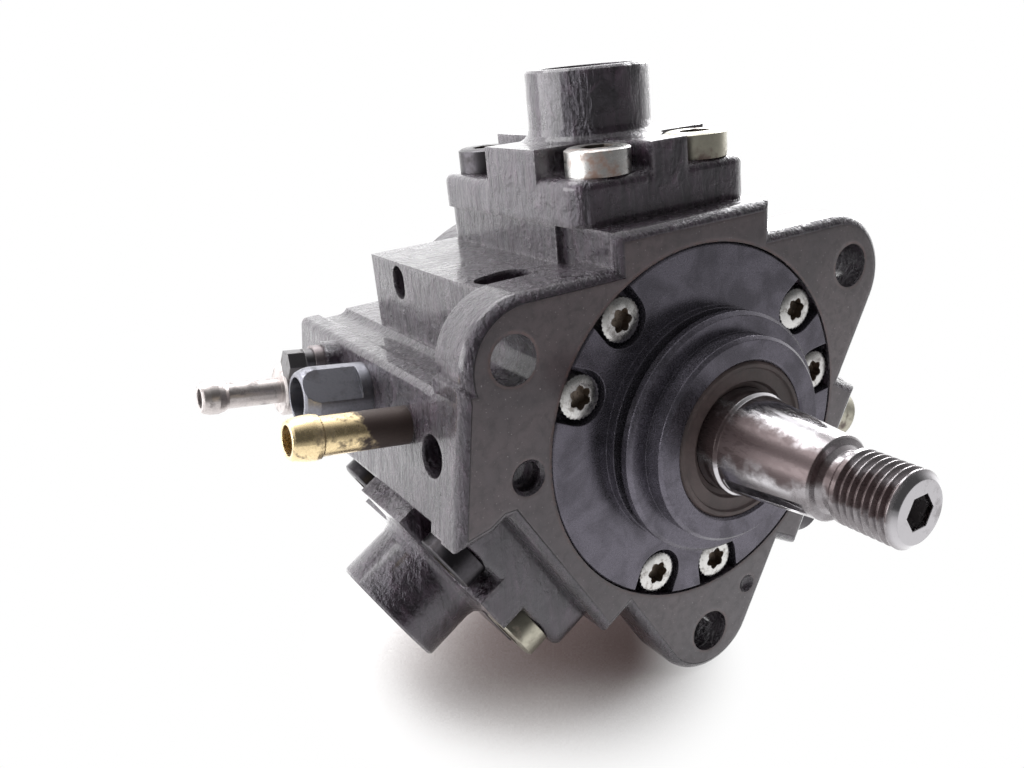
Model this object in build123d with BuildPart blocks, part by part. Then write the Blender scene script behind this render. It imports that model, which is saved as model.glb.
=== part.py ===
"""Radial diesel injection pump: three plungers at 120 degrees round one eccentric drive shaft.

Frame: the origin is the centre of the mounting face, the drive shaft lies along Y and
leaves the housing towards -Y, +Z points to the top head. All sizes are in millimetres.
"""

import os
from math import cos, radians, sin, sqrt, tan

from build123d import *

os.makedirs("parts", exist_ok=True)

# ------------------------------------------------------------------ driving dimensions
# mounting flange
PILOT_R = 25.0  # pilot that centres the pump in the engine bracket
BOLT_CIRCLE_R = 50.0  # circle of the three flange bolts
BOLT_HOLE_R = 4.75  # clearance hole for an M8 flange bolt
FLANGE_T = 12.0  # thickness of the three flange lobes
LOBE_R = 13.5  # radius of a lobe's tip
LOBE_C = 46.0  # distance of a lobe's centre from the shaft
EDGE_R = 2.4  # rounded edge round the machined face
EDGE_BACK_R = 1.2  # rounded edge round the back of the flange
# plunger section
HEAD_Y = 33.5  # plane of the three plungers, behind the mounting face
SEAT_A = 43.2  # distance of a head's seat from the shaft axis
SEAT_T = 21.2  # half width of a seat across the shaft axis
SEAT_FRONT_Y = 17.5  # the seat narrows in front of this plane
ECCENTRICITY = 3.4  # half of the plunger stroke
RING_FLAT = 19.0  # distance of the polygon ring's flats from its centre
RING_R = 23.0  # corner radius of the polygon ring
PLUNGER_R = 3.5
# head block
HEAD_X = 21.7  # half width
HEAD_FRONT = 26.0  # from the plunger axis to the front end
HEAD_BACK = 32.0  # from the plunger axis to the rear end, past the outlet valve
HEAD_CORNER_R = 5.5
HEAD_H = 14.1  # height of the block on its seat
BOSS_R = 13.1
BOSS_H = 14.2
SCREW_X = 12.3  # head screws, from the plunger axis
SCREW_FRONT = 19.2
SCREW_BACK = 24.0
SCREW_R = 4.0  # M8
SCREW_HEAD_R = 6.5
SCREW_KEY_R = 3.46  # corners of the 6 mm hexagon socket
SCREW_BREAK = 0.5  # chamfer round a screw head
SCREW_HEAD_L = 5.2
POCKET_R = 7.9  # corner pockets round the screws
RIM_R = 1.8  # rounding of the pocket floors' outer rims
POCKET_BACK = 8.0  # front wall of the rear pockets, from the plunger axis
FLOOR_FRONT = 8.8  # height of the front pocket floors on the seat
FLOOR_BACK = 7.2  # height of the rear pocket floors on the seat
# housing
HOUSING_L = 78.0
SHOULDER_X = 42.0  # left face of the raised shoulder
SHOULDER_Z = 35.5
SHOULDER_L = 62.5
WALL_TILT = 9.0  # the left wall leans by this angle
WALL_TOP = (-54.3, 19.2)
WALL_LOW_Z = -8.6  # lower end of the left wall
WALL_END = HOUSING_L + 5.0  # rear end of the left wall
WALL_EDGE_R = 1.6  # rounding of its long edges
# shaft
SHAFT_BIG_R = 10.0  # large end of the 1:5 taper
TAPER_Y0 = -14.5
TAPER_Y1 = -34.6
THREAD_R = 7.0  # M14 x 1.5
THREAD_PITCH = 1.5
SHAFT_TIP_Y = -51.0
# cover
COVER_SCREW_C = PILOT_R + 7.8  # circle of the six cover screws
COVER_HEAD_R = 4.5  # head of a cover screw
COVER_HEAD_H = 3.9
COVER_R = COVER_SCREW_C + COVER_HEAD_R + 0.1
COVER_T = 8.5
COVER_GAP = 0.2
BODY_R = COVER_R + 0.1  # round body behind the flange
NOSE_R = 21.0
NOSE_Y = -11.4
SEAL_R = 16.0
FIT = 0.02  # radial clearance of seated pieces
RUN = 0.03  # radial clearance of running pieces

HEADS = {"top": 90.0, "left": 210.0, "right": 330.0}
LOBES = (30.0, 150.0, 270.0)
REST_ANGLE = 90.0  # the eccentric points at the top head


def front(y):
    """Sketch plane across the shaft: local x is X, local y is Z, its normal is -Y."""
    return Plane(origin=(0, y, 0), x_dir=(1, 0, 0), z_dir=(0, -1, 0))


def polar(r, angle):
    return (r * cos(radians(angle)), r * sin(radians(angle)))


def ycyl(r, y0, y1, x=0.0, z=0.0, mode=Mode.ADD):
    """Cylinder along Y between two planes."""
    with Locations(Location((x, (y0 + y1) / 2, z), (90, 0, 0))):
        Cylinder(r, abs(y1 - y0), mode=mode)


def zcyl(r, z0, z1, x=0.0, y=0.0, mode=Mode.ADD):
    """Cylinder along Z between two planes."""
    with Locations(Location((x, y, (z0 + z1) / 2))):
        Cylinder(r, abs(z1 - z0), mode=mode)


def seat_plane(angle):
    """Plane of a head's seat: origin on the plunger axis, local y is Y, normal outwards."""
    ux, uz = polar(1.0, angle)
    tx, tz = polar(1.0, angle - 90.0)
    return Plane(
        origin=(SEAT_A * ux, HEAD_Y, SEAT_A * uz), x_dir=(tx, 0, tz), z_dir=(ux, 0, uz)
    )


def block(x0, x1, y0, y1, z0, z1, mode=Mode.ADD):
    with Locations(((x0 + x1) / 2, (y0 + y1) / 2, (z0 + z1) / 2)):
        Box(abs(x1 - x0), abs(y1 - y0), abs(z1 - z0), mode=mode)


def turned(points, mode=Mode.ADD):
    """Solid turned about the shaft axis from (radius, y) points."""
    with BuildSketch(Plane.XY) as profile:
        Polygon(*points, align=None)
    revolve(profile.sketch, axis=Axis.Y, mode=mode)


def turned_z(points, y=0.0, mode=Mode.ADD):
    """Solid turned about a line along Z at a given y, from (radius, z) points."""
    with BuildSketch(front(y)) as profile:
        Polygon(*points, align=None)
    revolve(profile.sketch, axis=Axis((0, y, 0), (0, 0, 1)), mode=mode)


def coil(r, wire_r, height, turns):
    """Helical spring along Z from z = 0, with its wire inside that height."""
    pitch = (height - 2 * wire_r) / turns
    with BuildLine() as path:
        Helix(pitch=pitch, height=height - 2 * wire_r, radius=r, center=(0, 0, wire_r))
    with BuildSketch(Plane(origin=path.line @ 0, z_dir=path.line % 0)) as section:
        Circle(wire_r)
    sweep(section.sketch, path=path.line, is_frenet=True)


def finish(part, name):
    part.label = name
    export_step(part, "parts/%s.step" % name)


def to_head(part, name, angle):
    """Turn a piece made for the top head about the shaft to another head."""
    with BuildPart() as placed:
        add(part.rotate(Axis.Y, 90.0 - angle))
    finish(placed.part, name)


# wall plane of the left side: unit normal pointing out, and a point on it
wall_n = (-cos(radians(WALL_TILT)), 0.0, sin(radians(WALL_TILT)))


def wall_x(z):
    """X of the left wall's surface at height z."""
    return WALL_TOP[0] + (z - WALL_TOP[1]) * tan(radians(WALL_TILT))


def wall_plane(y, z, out=0.0):
    """Plane on the left wall at height z, its normal pointing out of the pump."""
    return Plane(
        origin=(wall_x(z) + wall_n[0] * out, y, z + wall_n[2] * out),
        x_dir=(0, -1, 0),
        z_dir=wall_n,
    )


def on_wall(plane, r, a, b, mode=Mode.ADD):
    """Cylinder on a wall plane between two distances out of the wall."""
    with BuildSketch(plane.offset(a)) as circle:
        Circle(r)
    extrude(circle.sketch, amount=b - a, mode=mode)


def turned_on(plane, points, mode=Mode.ADD):
    """Solid turned about a wall plane's normal from (radius, distance out) points."""
    side = Plane(origin=plane.origin, x_dir=plane.x_dir, z_dir=-plane.y_dir)
    with BuildSketch(side) as profile:
        Polygon(*points, align=None)
    revolve(profile.sketch, axis=Axis(plane.origin, plane.z_dir), mode=mode)


# ------------------------------------------------------------------ housing
COVER_SPIGOT_R = PILOT_R + 4.5
CAVITY_R = COVER_SPIGOT_R - 0.3
CAVITY_Y0 = COVER_T + 7.0
CAVITY_Y1 = HEAD_Y + 10.7
REAR_BORE_R = 11.5
REAR_BORE_Y = 60.0
METER_BORE_R = 9.5
HEAD_BORE_R = 11.0
COVER_SCREW_SPREAD = 14.5
COVER_SCREW_TURN = -9.9
COVER_SCREW_R = 2.5
SCREW_DEPTH = 11.0
cover_screw_angles = [
    a + COVER_SCREW_TURN + s * COVER_SCREW_SPREAD for a in LOBES for s in (-1, 1)
]
NECK_T = SEAT_T - 1.4
BLIND_R = 2.9  # small blind hole in the machined face
BLIND_T = 3.4
BLIND_X = COVER_R + 5.2
DIMPLE_R = 2.6
DIMPLE_T = 1.1
DIMPLE_C = COVER_R + 6.5
FRONT_POCKET_Z = SEAT_A + FLOOR_FRONT
BACK_POCKET_Z = SEAT_A + FLOOR_BACK
head_screws_at = [
    (sx * SCREW_X, HEAD_Y + y, z)
    for sx in (-1, 1)
    for y, z in ((-SCREW_FRONT, FRONT_POCKET_Z), (SCREW_BACK, BACK_POCKET_Z))
]
SEAT_BACK_Y = HEAD_Y + HEAD_BACK - 1.5
HEAD_ROOM = 0.6  # air between a head block and the castings beside it
OUTLET_Y = HEAD_Y + 15.0
HP_Y, HP_Z = 44.5, 10.8
RETURN_Y, RETURN_Z = 23.0, 9.6
INLET_Y, INLET_Z = HOUSING_L - 10.0, 6.2
BOLT_Y, BOLT_Z = HOUSING_L - 18.0, 14.0
PAD_OUT = 3.6  # height of the small cast pad under the fittings at the back of the wall
HP_R = 6.3
HP_STEM_R = 5.9
PIN_Y, PIN_Z, PIN_R = 11.3, 6.9, 4.2  # open bore behind the flange
RETURN_R = 3.8
INLET_R = 2.9
NECK_R = 4.1  # thick root of the inlet nozzle, which the retaining plate goes round
COLLAR_R = 5.2  # seat of the inlet nozzle in its pad
PLATE_BOLT_R = 2.0

with BuildPart() as pump_housing:
    # flange with three lobes, the heads' necks and the shoulder of the left side
    with BuildSketch(front(0)) as flange_outline:
        with Locations(*[polar(LOBE_C, a) for a in LOBES]):
            Circle(LOBE_R)
        make_hull()
        for angle in HEADS.values():
            x, z = polar(SEAT_A / 2, angle)
            with Locations(Location((x, z, 0), (0, 0, angle))):
                Rectangle(SEAT_A, 2 * NECK_T)
        Polygon(
            (wall_x(WALL_TOP[1]), WALL_TOP[1] + 3.0),
            WALL_TOP,
            (wall_x(WALL_LOW_Z), WALL_LOW_Z),
            (wall_x(WALL_LOW_Z) + 8.0, WALL_LOW_Z + 1.6),
            (wall_x(WALL_LOW_Z) + 10.9, WALL_LOW_Z + 3.3),
            (-20.0, WALL_LOW_Z + 3.3),
            (-20.0, WALL_TOP[1] + 3.0),
            align=None,
        )
    extrude(amount=-FLANGE_T)
    fillet(pump_housing.faces().sort_by(Axis.Y)[0].outer_wire().edges(), EDGE_R)
    fillet(pump_housing.faces().sort_by(Axis.Y)[-1].outer_wire().edges(), EDGE_BACK_R)
    # round body and the seats of the three heads
    ycyl(BODY_R, 2.0, HOUSING_L)
    for angle in HEADS.values():
        with BuildSketch(seat_plane(angle)) as seat_outline:
            with Locations((0, (SEAT_FRONT_Y + SEAT_BACK_Y) / 2 - HEAD_Y)):
                Rectangle(2 * SEAT_T, SEAT_BACK_Y - SEAT_FRONT_Y)
            fillet(seat_outline.vertices().sort_by(Axis.Y)[-2:], HEAD_CORNER_R)
        extrude(amount=-SEAT_A)
        with BuildSketch(front(2.0)):
            x, z = polar(SEAT_A / 2, angle)
            with Locations(Location((x, z, 0), (0, 0, angle))):
                Rectangle(SEAT_A, 2 * NECK_T)
        extrude(amount=-(SEAT_FRONT_Y - 2.0))
    # raised shoulders beside the top head
    with BuildSketch(front(6.0)) as shoulder:
        Polygon(
            (-SHOULDER_X, 5.0),
            (-SHOULDER_X, SHOULDER_Z),
            (0, SHOULDER_Z),
            (0, 5.0),
            align=None,
        )
        fillet(shoulder.vertices().sort_by(Axis.X)[:2].sort_by(Axis.Z)[-1], 4.0)
    extrude(amount=-(SHOULDER_L - 6.0))
    with BuildSketch(front(6.0)) as right_shoulder:
        Polygon(
            (SHOULDER_X - 4.0, -2.0),
            (SHOULDER_X - 4.0, SHOULDER_Z - 4.0),
            (0, SHOULDER_Z - 4.0),
            (0, -2.0),
            align=None,
        )
        fillet(right_shoulder.vertices().sort_by(Axis.X)[-2:].sort_by(Axis.Z)[-1], 6.0)
    extrude(amount=-(SHOULDER_L - 12.0))
    # left block with its leaning wall, above the lower left head
    with BuildSketch(front(3.0)) as left_block:
        hx, hz = polar(SEAT_A, HEADS["left"])
        tx, tz = polar(SEAT_T + 0.7, HEADS["left"] - 90)
        x_in = hx + tx
        z_in = hz + tz
        Polygon(
            WALL_TOP,
            (wall_x(WALL_LOW_Z), WALL_LOW_Z),
            (x_in, z_in),
            (-20.0, z_in),
            (-20.0, WALL_TOP[1]),
            align=None,
        )
        fillet(left_block.vertices().sort_by(Axis.X)[:2], WALL_EDGE_R)
    extrude(amount=-(WALL_END - 3.0))
    # trough along the ledge between the wall and the shoulder
    with BuildSketch(front(FLANGE_T)):
        with Locations((-SHOULDER_X - 4.3, WALL_TOP[1] + 1.6)):
            SlotOverall(8.4, 5.6)
    extrude(amount=-(WALL_END + 1.0 - FLANGE_T), mode=Mode.SUBTRACT)
    # cast pad that carries the inlet nozzle and its retaining plate
    pad = wall_plane((INLET_Y + BOLT_Y) / 2, (INLET_Z + BOLT_Z) / 2)
    with BuildSketch(pad.offset(-2.0)) as pad_outline:
        dy = (INLET_Y - BOLT_Y) / 2
        dz = (BOLT_Z - INLET_Z) / 2
        with Locations((-dy, -dz)):
            Circle(COLLAR_R + 2.0)
        with Locations((dy, dz)):
            Circle(PLATE_BOLT_R + 2.6)
        make_hull()
    extrude(amount=PAD_OUT + 2.0)
    # cover seat, working space, shaft bores
    ycyl(COVER_R + COVER_GAP, -1.0, COVER_T, mode=Mode.SUBTRACT)
    ycyl(COVER_SPIGOT_R, COVER_T - 0.5, CAVITY_Y0, mode=Mode.SUBTRACT)
    ycyl(CAVITY_R, CAVITY_Y0 - 0.5, CAVITY_Y1, mode=Mode.SUBTRACT)
    ycyl(REAR_BORE_R, CAVITY_Y1 - 0.5, REAR_BORE_Y, mode=Mode.SUBTRACT)
    ycyl(REAR_BORE_R - 2.5, REAR_BORE_Y - 0.5, REAR_BORE_Y + 7.0, mode=Mode.SUBTRACT)
    ycyl(METER_BORE_R, REAR_BORE_Y + 6.5, HOUSING_L + 5.0, mode=Mode.SUBTRACT)
    # room of the three head blocks, their bores and screw holes
    for angle in HEADS.values():
        seat = seat_plane(angle)
        with BuildSketch(seat):
            with Locations((0, (HEAD_BACK - HEAD_FRONT) / 2)):
                Rectangle(2 * (HEAD_X + HEAD_ROOM), HEAD_FRONT + HEAD_BACK + 2 * HEAD_ROOM)
        extrude(amount=HEAD_H, mode=Mode.SUBTRACT)
        with BuildSketch(seat.offset(1.0)):
            Circle(HEAD_BORE_R)
        extrude(amount=-(SEAT_A - 15.0), mode=Mode.SUBTRACT)
        with BuildSketch(seat.offset(1.0)):
            with Locations(*[(x, y - HEAD_Y) for x, y, z in head_screws_at]):
                Circle(SCREW_R + FIT)
        extrude(amount=-(SCREW_DEPTH + 1.2), mode=Mode.SUBTRACT)
        with BuildSketch(seat.offset(1.0)):
            with Locations((0, OUTLET_Y - HEAD_Y)):
                Circle(1.25)
        extrude(amount=-(SCREW_DEPTH + 5.0), mode=Mode.SUBTRACT)
    # flange bolts, cover screws
    for angle in LOBES:
        x, z = polar(BOLT_CIRCLE_R, angle)
        ycyl(BOLT_HOLE_R, -1.0, FLANGE_T + 12.0, x, z, mode=Mode.SUBTRACT)
    for angle in cover_screw_angles:
        x, z = polar(COVER_SCREW_C, angle)
        ycyl(COVER_SCREW_R + FIT, COVER_T - 1.0, COVER_T + 11.0, x, z, mode=Mode.SUBTRACT)
    # small blind hole and locating dimple in the machined face
    ycyl(BLIND_R, -1.0, BLIND_T, -BLIND_X, 2.0, mode=Mode.SUBTRACT)
    with Locations(Location((-BLIND_X, 0.35, 2.0), (90, 0, 0))):
        Cone(BLIND_R, BLIND_R + 0.7, 0.71, mode=Mode.SUBTRACT)
    x, z = polar(DIMPLE_C, -75.0)
    with Locations((x, DIMPLE_T - DIMPLE_R, z)):
        Sphere(DIMPLE_R, mode=Mode.SUBTRACT)
    # cast pockets on the shoulder
    with BuildSketch(Plane.XY.offset(SHOULDER_Z + 2.0)):
        with Locations(Location((-34.0, 17.5, 0), (0, 0, 12))):
            SlotOverall(12.4, 7.4)
    extrude(amount=-10.0, mode=Mode.SUBTRACT)
    with BuildSketch(Plane(origin=(-SHOULDER_X - 1.0, 49.0, 31.0), x_dir=(0, -1, 0), z_dir=(-1, 0, 0))):
        with Locations(Location((0, 0, 0), (0, 0, 90))):
            SlotOverall(7.4, 5.4)
    extrude(amount=-6.0, mode=Mode.SUBTRACT)
    # bores in the left wall
    on_wall(wall_plane(PIN_Y, PIN_Z), PIN_R, -9.0, 1.0, mode=Mode.SUBTRACT)
    on_wall(wall_plane(RETURN_Y, RETURN_Z), RETURN_R + FIT, -8.0, 1.0, mode=Mode.SUBTRACT)
    on_wall(wall_plane(HP_Y, HP_Z), HP_STEM_R + FIT, -9.0, 1.0, mode=Mode.SUBTRACT)
    on_wall(wall_plane(HP_Y, HP_Z), 1.5, -24.0, -8.5, mode=Mode.SUBTRACT)
    on_wall(wall_plane(INLET_Y, INLET_Z), COLLAR_R + FIT, -3.0, PAD_OUT + 1.0, mode=Mode.SUBTRACT)
    on_wall(wall_plane(INLET_Y, INLET_Z), INLET_R + FIT, -12.0, -2.5, mode=Mode.SUBTRACT)
    on_wall(wall_plane(BOLT_Y, BOLT_Z), PLATE_BOLT_R + FIT, -9.0, PAD_OUT + 1.0, mode=Mode.SUBTRACT)
    # screw holes of the metering unit
    for s in (-1, 1):
        ycyl(2.0 + FIT, HOUSING_L - 9.0, HOUSING_L + 3.0, s * 15.5, 0, mode=Mode.SUBTRACT)
finish(pump_housing.part, "pump_housing")


# ------------------------------------------------------------------ front cover and its pieces
JOURNAL_R = SHAFT_BIG_R + 1.5
BUSH_R = JOURNAL_R + 2.0
SEAL_Y = -4.2
PILOT_L = 7.0
COVER_HEAD_Y = 0.5  # outer face of the cover screws, behind the mounting face
O_RING_R = 0.95
with BuildPart() as front_cover:
    turned(
        [
            (BUSH_R, SEAL_Y + 1.6),
            (SEAL_R - 2.5, SEAL_Y + 1.6),
            (SEAL_R - 2.5, SEAL_Y),
            (SEAL_R, SEAL_Y),
            (SEAL_R, NOSE_Y + 0.5),
            (SEAL_R + 0.5, NOSE_Y),
            (NOSE_R - 0.7, NOSE_Y),
            (NOSE_R, NOSE_Y + 0.7),
            (NOSE_R, -PILOT_L),
            (PILOT_R - 0.8, -PILOT_L),
            (PILOT_R, -PILOT_L + 0.8),
            (PILOT_R, -4.7),
            (PILOT_R - 3.4, -4.3),
            (PILOT_R - 3.4, -2.6),
            (PILOT_R, -2.2),
            (PILOT_R, 0.0),
            (COVER_R - 0.4, 0.0),
            (COVER_R, 0.4),
            (COVER_R, COVER_T),
            (COVER_SPIGOT_R - FIT, COVER_T),
            (COVER_SPIGOT_R - FIT, COVER_T + 2.4),
            (COVER_SPIGOT_R - 2 * O_RING_R - 0.05, COVER_T + 2.4),
            (COVER_SPIGOT_R - 2 * O_RING_R - 0.05, COVER_T + 4.8),
            (COVER_SPIGOT_R - FIT, COVER_T + 4.8),
            (COVER_SPIGOT_R - FIT, CAVITY_Y0),
            (BUSH_R, CAVITY_Y0),
        ]
    )
    for angle in cover_screw_angles:
        with BuildSketch(front(-0.5)):
            x, z = polar(COVER_SCREW_C, angle)
            with Locations((x, z)):
                Circle(COVER_HEAD_R + 0.9)
            xo, zo = polar(COVER_SCREW_C + 5.0, angle)
            with Locations(Location((xo, zo, 0), (0, 0, angle))):
                Rectangle(10.0, 2 * COVER_HEAD_R + 1.8)
        extrude(amount=-(COVER_HEAD_Y + COVER_HEAD_H + 0.5), mode=Mode.SUBTRACT)
        ycyl(COVER_SCREW_R + 0.3, 0.0, COVER_T + 0.5, x, z, mode=Mode.SUBTRACT)
finish(front_cover.part, "front_cover")

with BuildPart() as cover_screws:
    for angle in cover_screw_angles:
        x, z = polar(COVER_SCREW_C, angle)
        ycyl(COVER_HEAD_R, COVER_HEAD_Y, COVER_HEAD_Y + COVER_HEAD_H, x, z)
        ycyl(COVER_SCREW_R, COVER_HEAD_Y + COVER_HEAD_H - 0.1, COVER_T + 10.0, x, z)
    for angle in cover_screw_angles:
        x, z = polar(COVER_SCREW_C, angle)
        with BuildSketch(front(0.0)) as star:
            with Locations((x, z)):
                Circle(1.9)
                with PolarLocations(2.0, 6, start_angle=angle):
                    Circle(0.75)
        extrude(amount=-3.2, mode=Mode.SUBTRACT)
finish(cover_screws.part, "cover_screws")

with BuildPart() as cover_o_ring:
    with Locations(Location((0, COVER_T + 3.6, 0), (90, 0, 0))):
        Torus(COVER_SPIGOT_R - O_RING_R - FIT / 2, O_RING_R)
finish(cover_o_ring.part, "cover_o_ring")

SEAL_RUN_R = SHAFT_BIG_R + 0.5
with BuildPart() as shaft_seal:
    turned(
        [
            (SEAL_R, SEAL_Y),
            (SEAL_R, NOSE_Y + 0.6),
            (SEAL_R - 0.5, NOSE_Y + 0.1),
            (SEAL_R - 1.2, NOSE_Y + 0.1),
            (SEAL_R - 1.5, NOSE_Y + 0.6),
            (SEAL_RUN_R + 1.5, NOSE_Y + 0.6),
            (SEAL_RUN_R + 1.1, NOSE_Y + 1.4),
            (SEAL_RUN_R + RUN, NOSE_Y + 1.9),
            (SEAL_RUN_R + RUN, NOSE_Y + 2.5),
            (SEAL_RUN_R + 0.9, NOSE_Y + 3.2),
            (SEAL_RUN_R + 0.4, NOSE_Y + 4.4),
            (SEAL_RUN_R + RUN, NOSE_Y + 4.9),
            (SEAL_RUN_R + 0.5, SEAL_Y),
            (SEAL_RUN_R + 2.0, SEAL_Y),
            (SEAL_RUN_R + 2.4, NOSE_Y + 3.2),
            (SEAL_R - 1.6, NOSE_Y + 3.2),
            (SEAL_R - 1.6, SEAL_Y),
        ]
    )
finish(shaft_seal.part, "shaft_seal")

with BuildPart() as front_bush:
    turned(
        [
            (JOURNAL_R + RUN, SEAL_Y + 1.8),
            (BUSH_R, SEAL_Y + 1.8),
            (BUSH_R, CAVITY_Y0 - 0.2),
            (JOURNAL_R + RUN, CAVITY_Y0 - 0.2),
        ]
    )
finish(front_bush.part, "front_bush")

REAR_JOURNAL_R = 9.0
with BuildPart() as rear_bush:
    turned(
        [
            (REAR_JOURNAL_R + RUN, CAVITY_Y1 + 0.2),
            (REAR_BORE_R, CAVITY_Y1 + 0.2),
            (REAR_BORE_R, REAR_BORE_Y),
            (REAR_JOURNAL_R + RUN, REAR_BORE_Y),
        ]
    )
finish(rear_bush.part, "rear_bush")

# ------------------------------------------------------------------ drive shaft and cam pieces
ECC_R = 14.0
FOOT_T = 1.6  # thickness of a plunger's foot
ECC_Y0, ECC_Y1 = HEAD_Y - 8.3, HEAD_Y + 8.0
ex, ez = polar(ECCENTRICITY, REST_ANGLE)
TAPER_END_R = SHAFT_BIG_R - (TAPER_Y0 - TAPER_Y1) / 10.0
NECK_R = THREAD_R - 1.2
KEY_ANGLE = 212.0
KEY_W = 3.0
with BuildPart() as drive_shaft:
    thread_y = TAPER_Y1 - 3.6
    points = [
        (0, SHAFT_TIP_Y),
        (THREAD_R - 1.3, SHAFT_TIP_Y),
        (THREAD_R, SHAFT_TIP_Y + 1.2),
    ]
    grooves = int((thread_y - SHAFT_TIP_Y - 1.6) / THREAD_PITCH)
    for i in range(grooves):
        y = SHAFT_TIP_Y + 1.5 + i * THREAD_PITCH
        points += [
            (THREAD_R, y),
            (THREAD_R - 0.85, y + 0.58),
            (THREAD_R - 0.85, y + 0.72),
            (THREAD_R, y + 1.3),
        ]
    points += [
        (THREAD_R, thread_y - 0.1),
        (NECK_R, thread_y + 0.9),
        (NECK_R, TAPER_Y1 - 1.3),
        (NECK_R + 0.7, TAPER_Y1 - 0.3),
        (TAPER_END_R - 0.4, TAPER_Y1),
        (TAPER_END_R, TAPER_Y1 + 0.4),
        (SHAFT_BIG_R, TAPER_Y0),
        (SEAL_RUN_R, TAPER_Y0 + 0.6),
        (SEAL_RUN_R, SEAL_Y + 1.4),
        (JOURNAL_R, SEAL_Y + 2.0),
        (JOURNAL_R, CAVITY_Y0 + 0.4),
        (JOURNAL_R + 1.2, CAVITY_Y0 + 0.4),
        (JOURNAL_R + 1.2, ECC_Y0 + 0.1),
        (REAR_JOURNAL_R, ECC_Y0 + 0.1),
        (REAR_JOURNAL_R, REAR_BORE_Y),
        (REAR_JOURNAL_R - 0.8, REAR_BORE_Y + 0.8),
        (0, REAR_BORE_Y + 0.8),
    ]
    turned(points)
    ycyl(ECC_R, ECC_Y0, ECC_Y1, ex, ez)
    # hexagon socket in the threaded end
    with BuildSketch(front(SHAFT_TIP_Y - 0.1)):
        RegularPolygon(3.4, 6)
    extrude(amount=-5.1, mode=Mode.SUBTRACT)
    # key slot in the taper
    kx, kz = polar(SHAFT_BIG_R - 2.6, KEY_ANGLE)
    slot = Plane(
        origin=(kx, (TAPER_Y0 + TAPER_Y1) / 2 + 0.5, kz),
        x_dir=(0, -1, 0),
        z_dir=(cos(radians(KEY_ANGLE)), 0, sin(radians(KEY_ANGLE))),
    )
    with BuildSketch(slot):
        Rectangle(TAPER_Y0 - TAPER_Y1 - 2.4, KEY_W)
    extrude(amount=8.0, mode=Mode.SUBTRACT)
finish(drive_shaft.part, "drive_shaft")

with BuildPart() as polygon_ring:
    with BuildSketch(front(HEAD_Y + 7.9)) as ring_outline:
        with Locations((ex, ez)):
            Circle(RING_R)
        for angle in HEADS.values():
            x, z = polar(RING_FLAT + 10.0, angle)
            with Locations(Location((ex + x, ez + z, 0), (0, 0, angle))):
                Rectangle(20.0, 3 * RING_R, mode=Mode.SUBTRACT)
        with Locations((ex, ez)):
            Circle(ECC_R + 1.5, mode=Mode.SUBTRACT)
    extrude(amount=15.8)
finish(polygon_ring.part, "polygon_ring")

with BuildPart() as ring_bush:
    with BuildSketch(front(HEAD_Y + 7.8)):
        with Locations((ex, ez)):
            Circle(ECC_R + 1.5)
            Circle(ECC_R + RUN, mode=Mode.SUBTRACT)
    extrude(amount=15.6)
finish(ring_bush.part, "ring_bush")

with BuildPart() as thrust_washer:
    with BuildSketch(front(CAVITY_Y1 - 0.3)):
        with Locations((ex / 2, ez / 2)):
            Circle(RING_FLAT - ECCENTRICITY / 2 + FOOT_T - 1.0)
            Circle(REAR_JOURNAL_R + ECCENTRICITY / 2 + 0.4, mode=Mode.SUBTRACT)
    extrude(amount=CAVITY_Y1 - 0.3 - (ECC_Y1 + 0.3))
finish(thrust_washer.part, "thrust_washer")

# ------------------------------------------------------------------ heads
HEAD_TOP = SEAT_A + HEAD_H
BOSS_TOP = HEAD_TOP + BOSS_H
NOSE_IN = SEAT_A - 7.2
NOSE_TIP = NOSE_IN - 7.0
GUIDE_R = PLUNGER_R + 2.9
FLAT_TDC = RING_FLAT + ECCENTRICITY
CHAMBER_Z0, CHAMBER_Z1 = SEAT_A + 7.8, SEAT_A + 14.8
CHAMBER_R = 6.2
PLUG_R = 8.0
PLUG_TOP = BOSS_TOP - 1.8
OUTLET_Z = SEAT_A + 3.5
OUTLET_R = 1.25
BALL_R = 2.2
BALL_CHAMBER_R = 2.8
BALL_Y0 = HEAD_Y + 9.6
BALL_Y = BALL_Y0 + sqrt(BALL_R**2 - OUTLET_R**2) + 0.01
OUTLET_PLUG_Y = HEAD_Y + 20.0
HEAD_O_RING_Z = NOSE_IN + 3.6
HEAD_O_RING = 0.8

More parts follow.
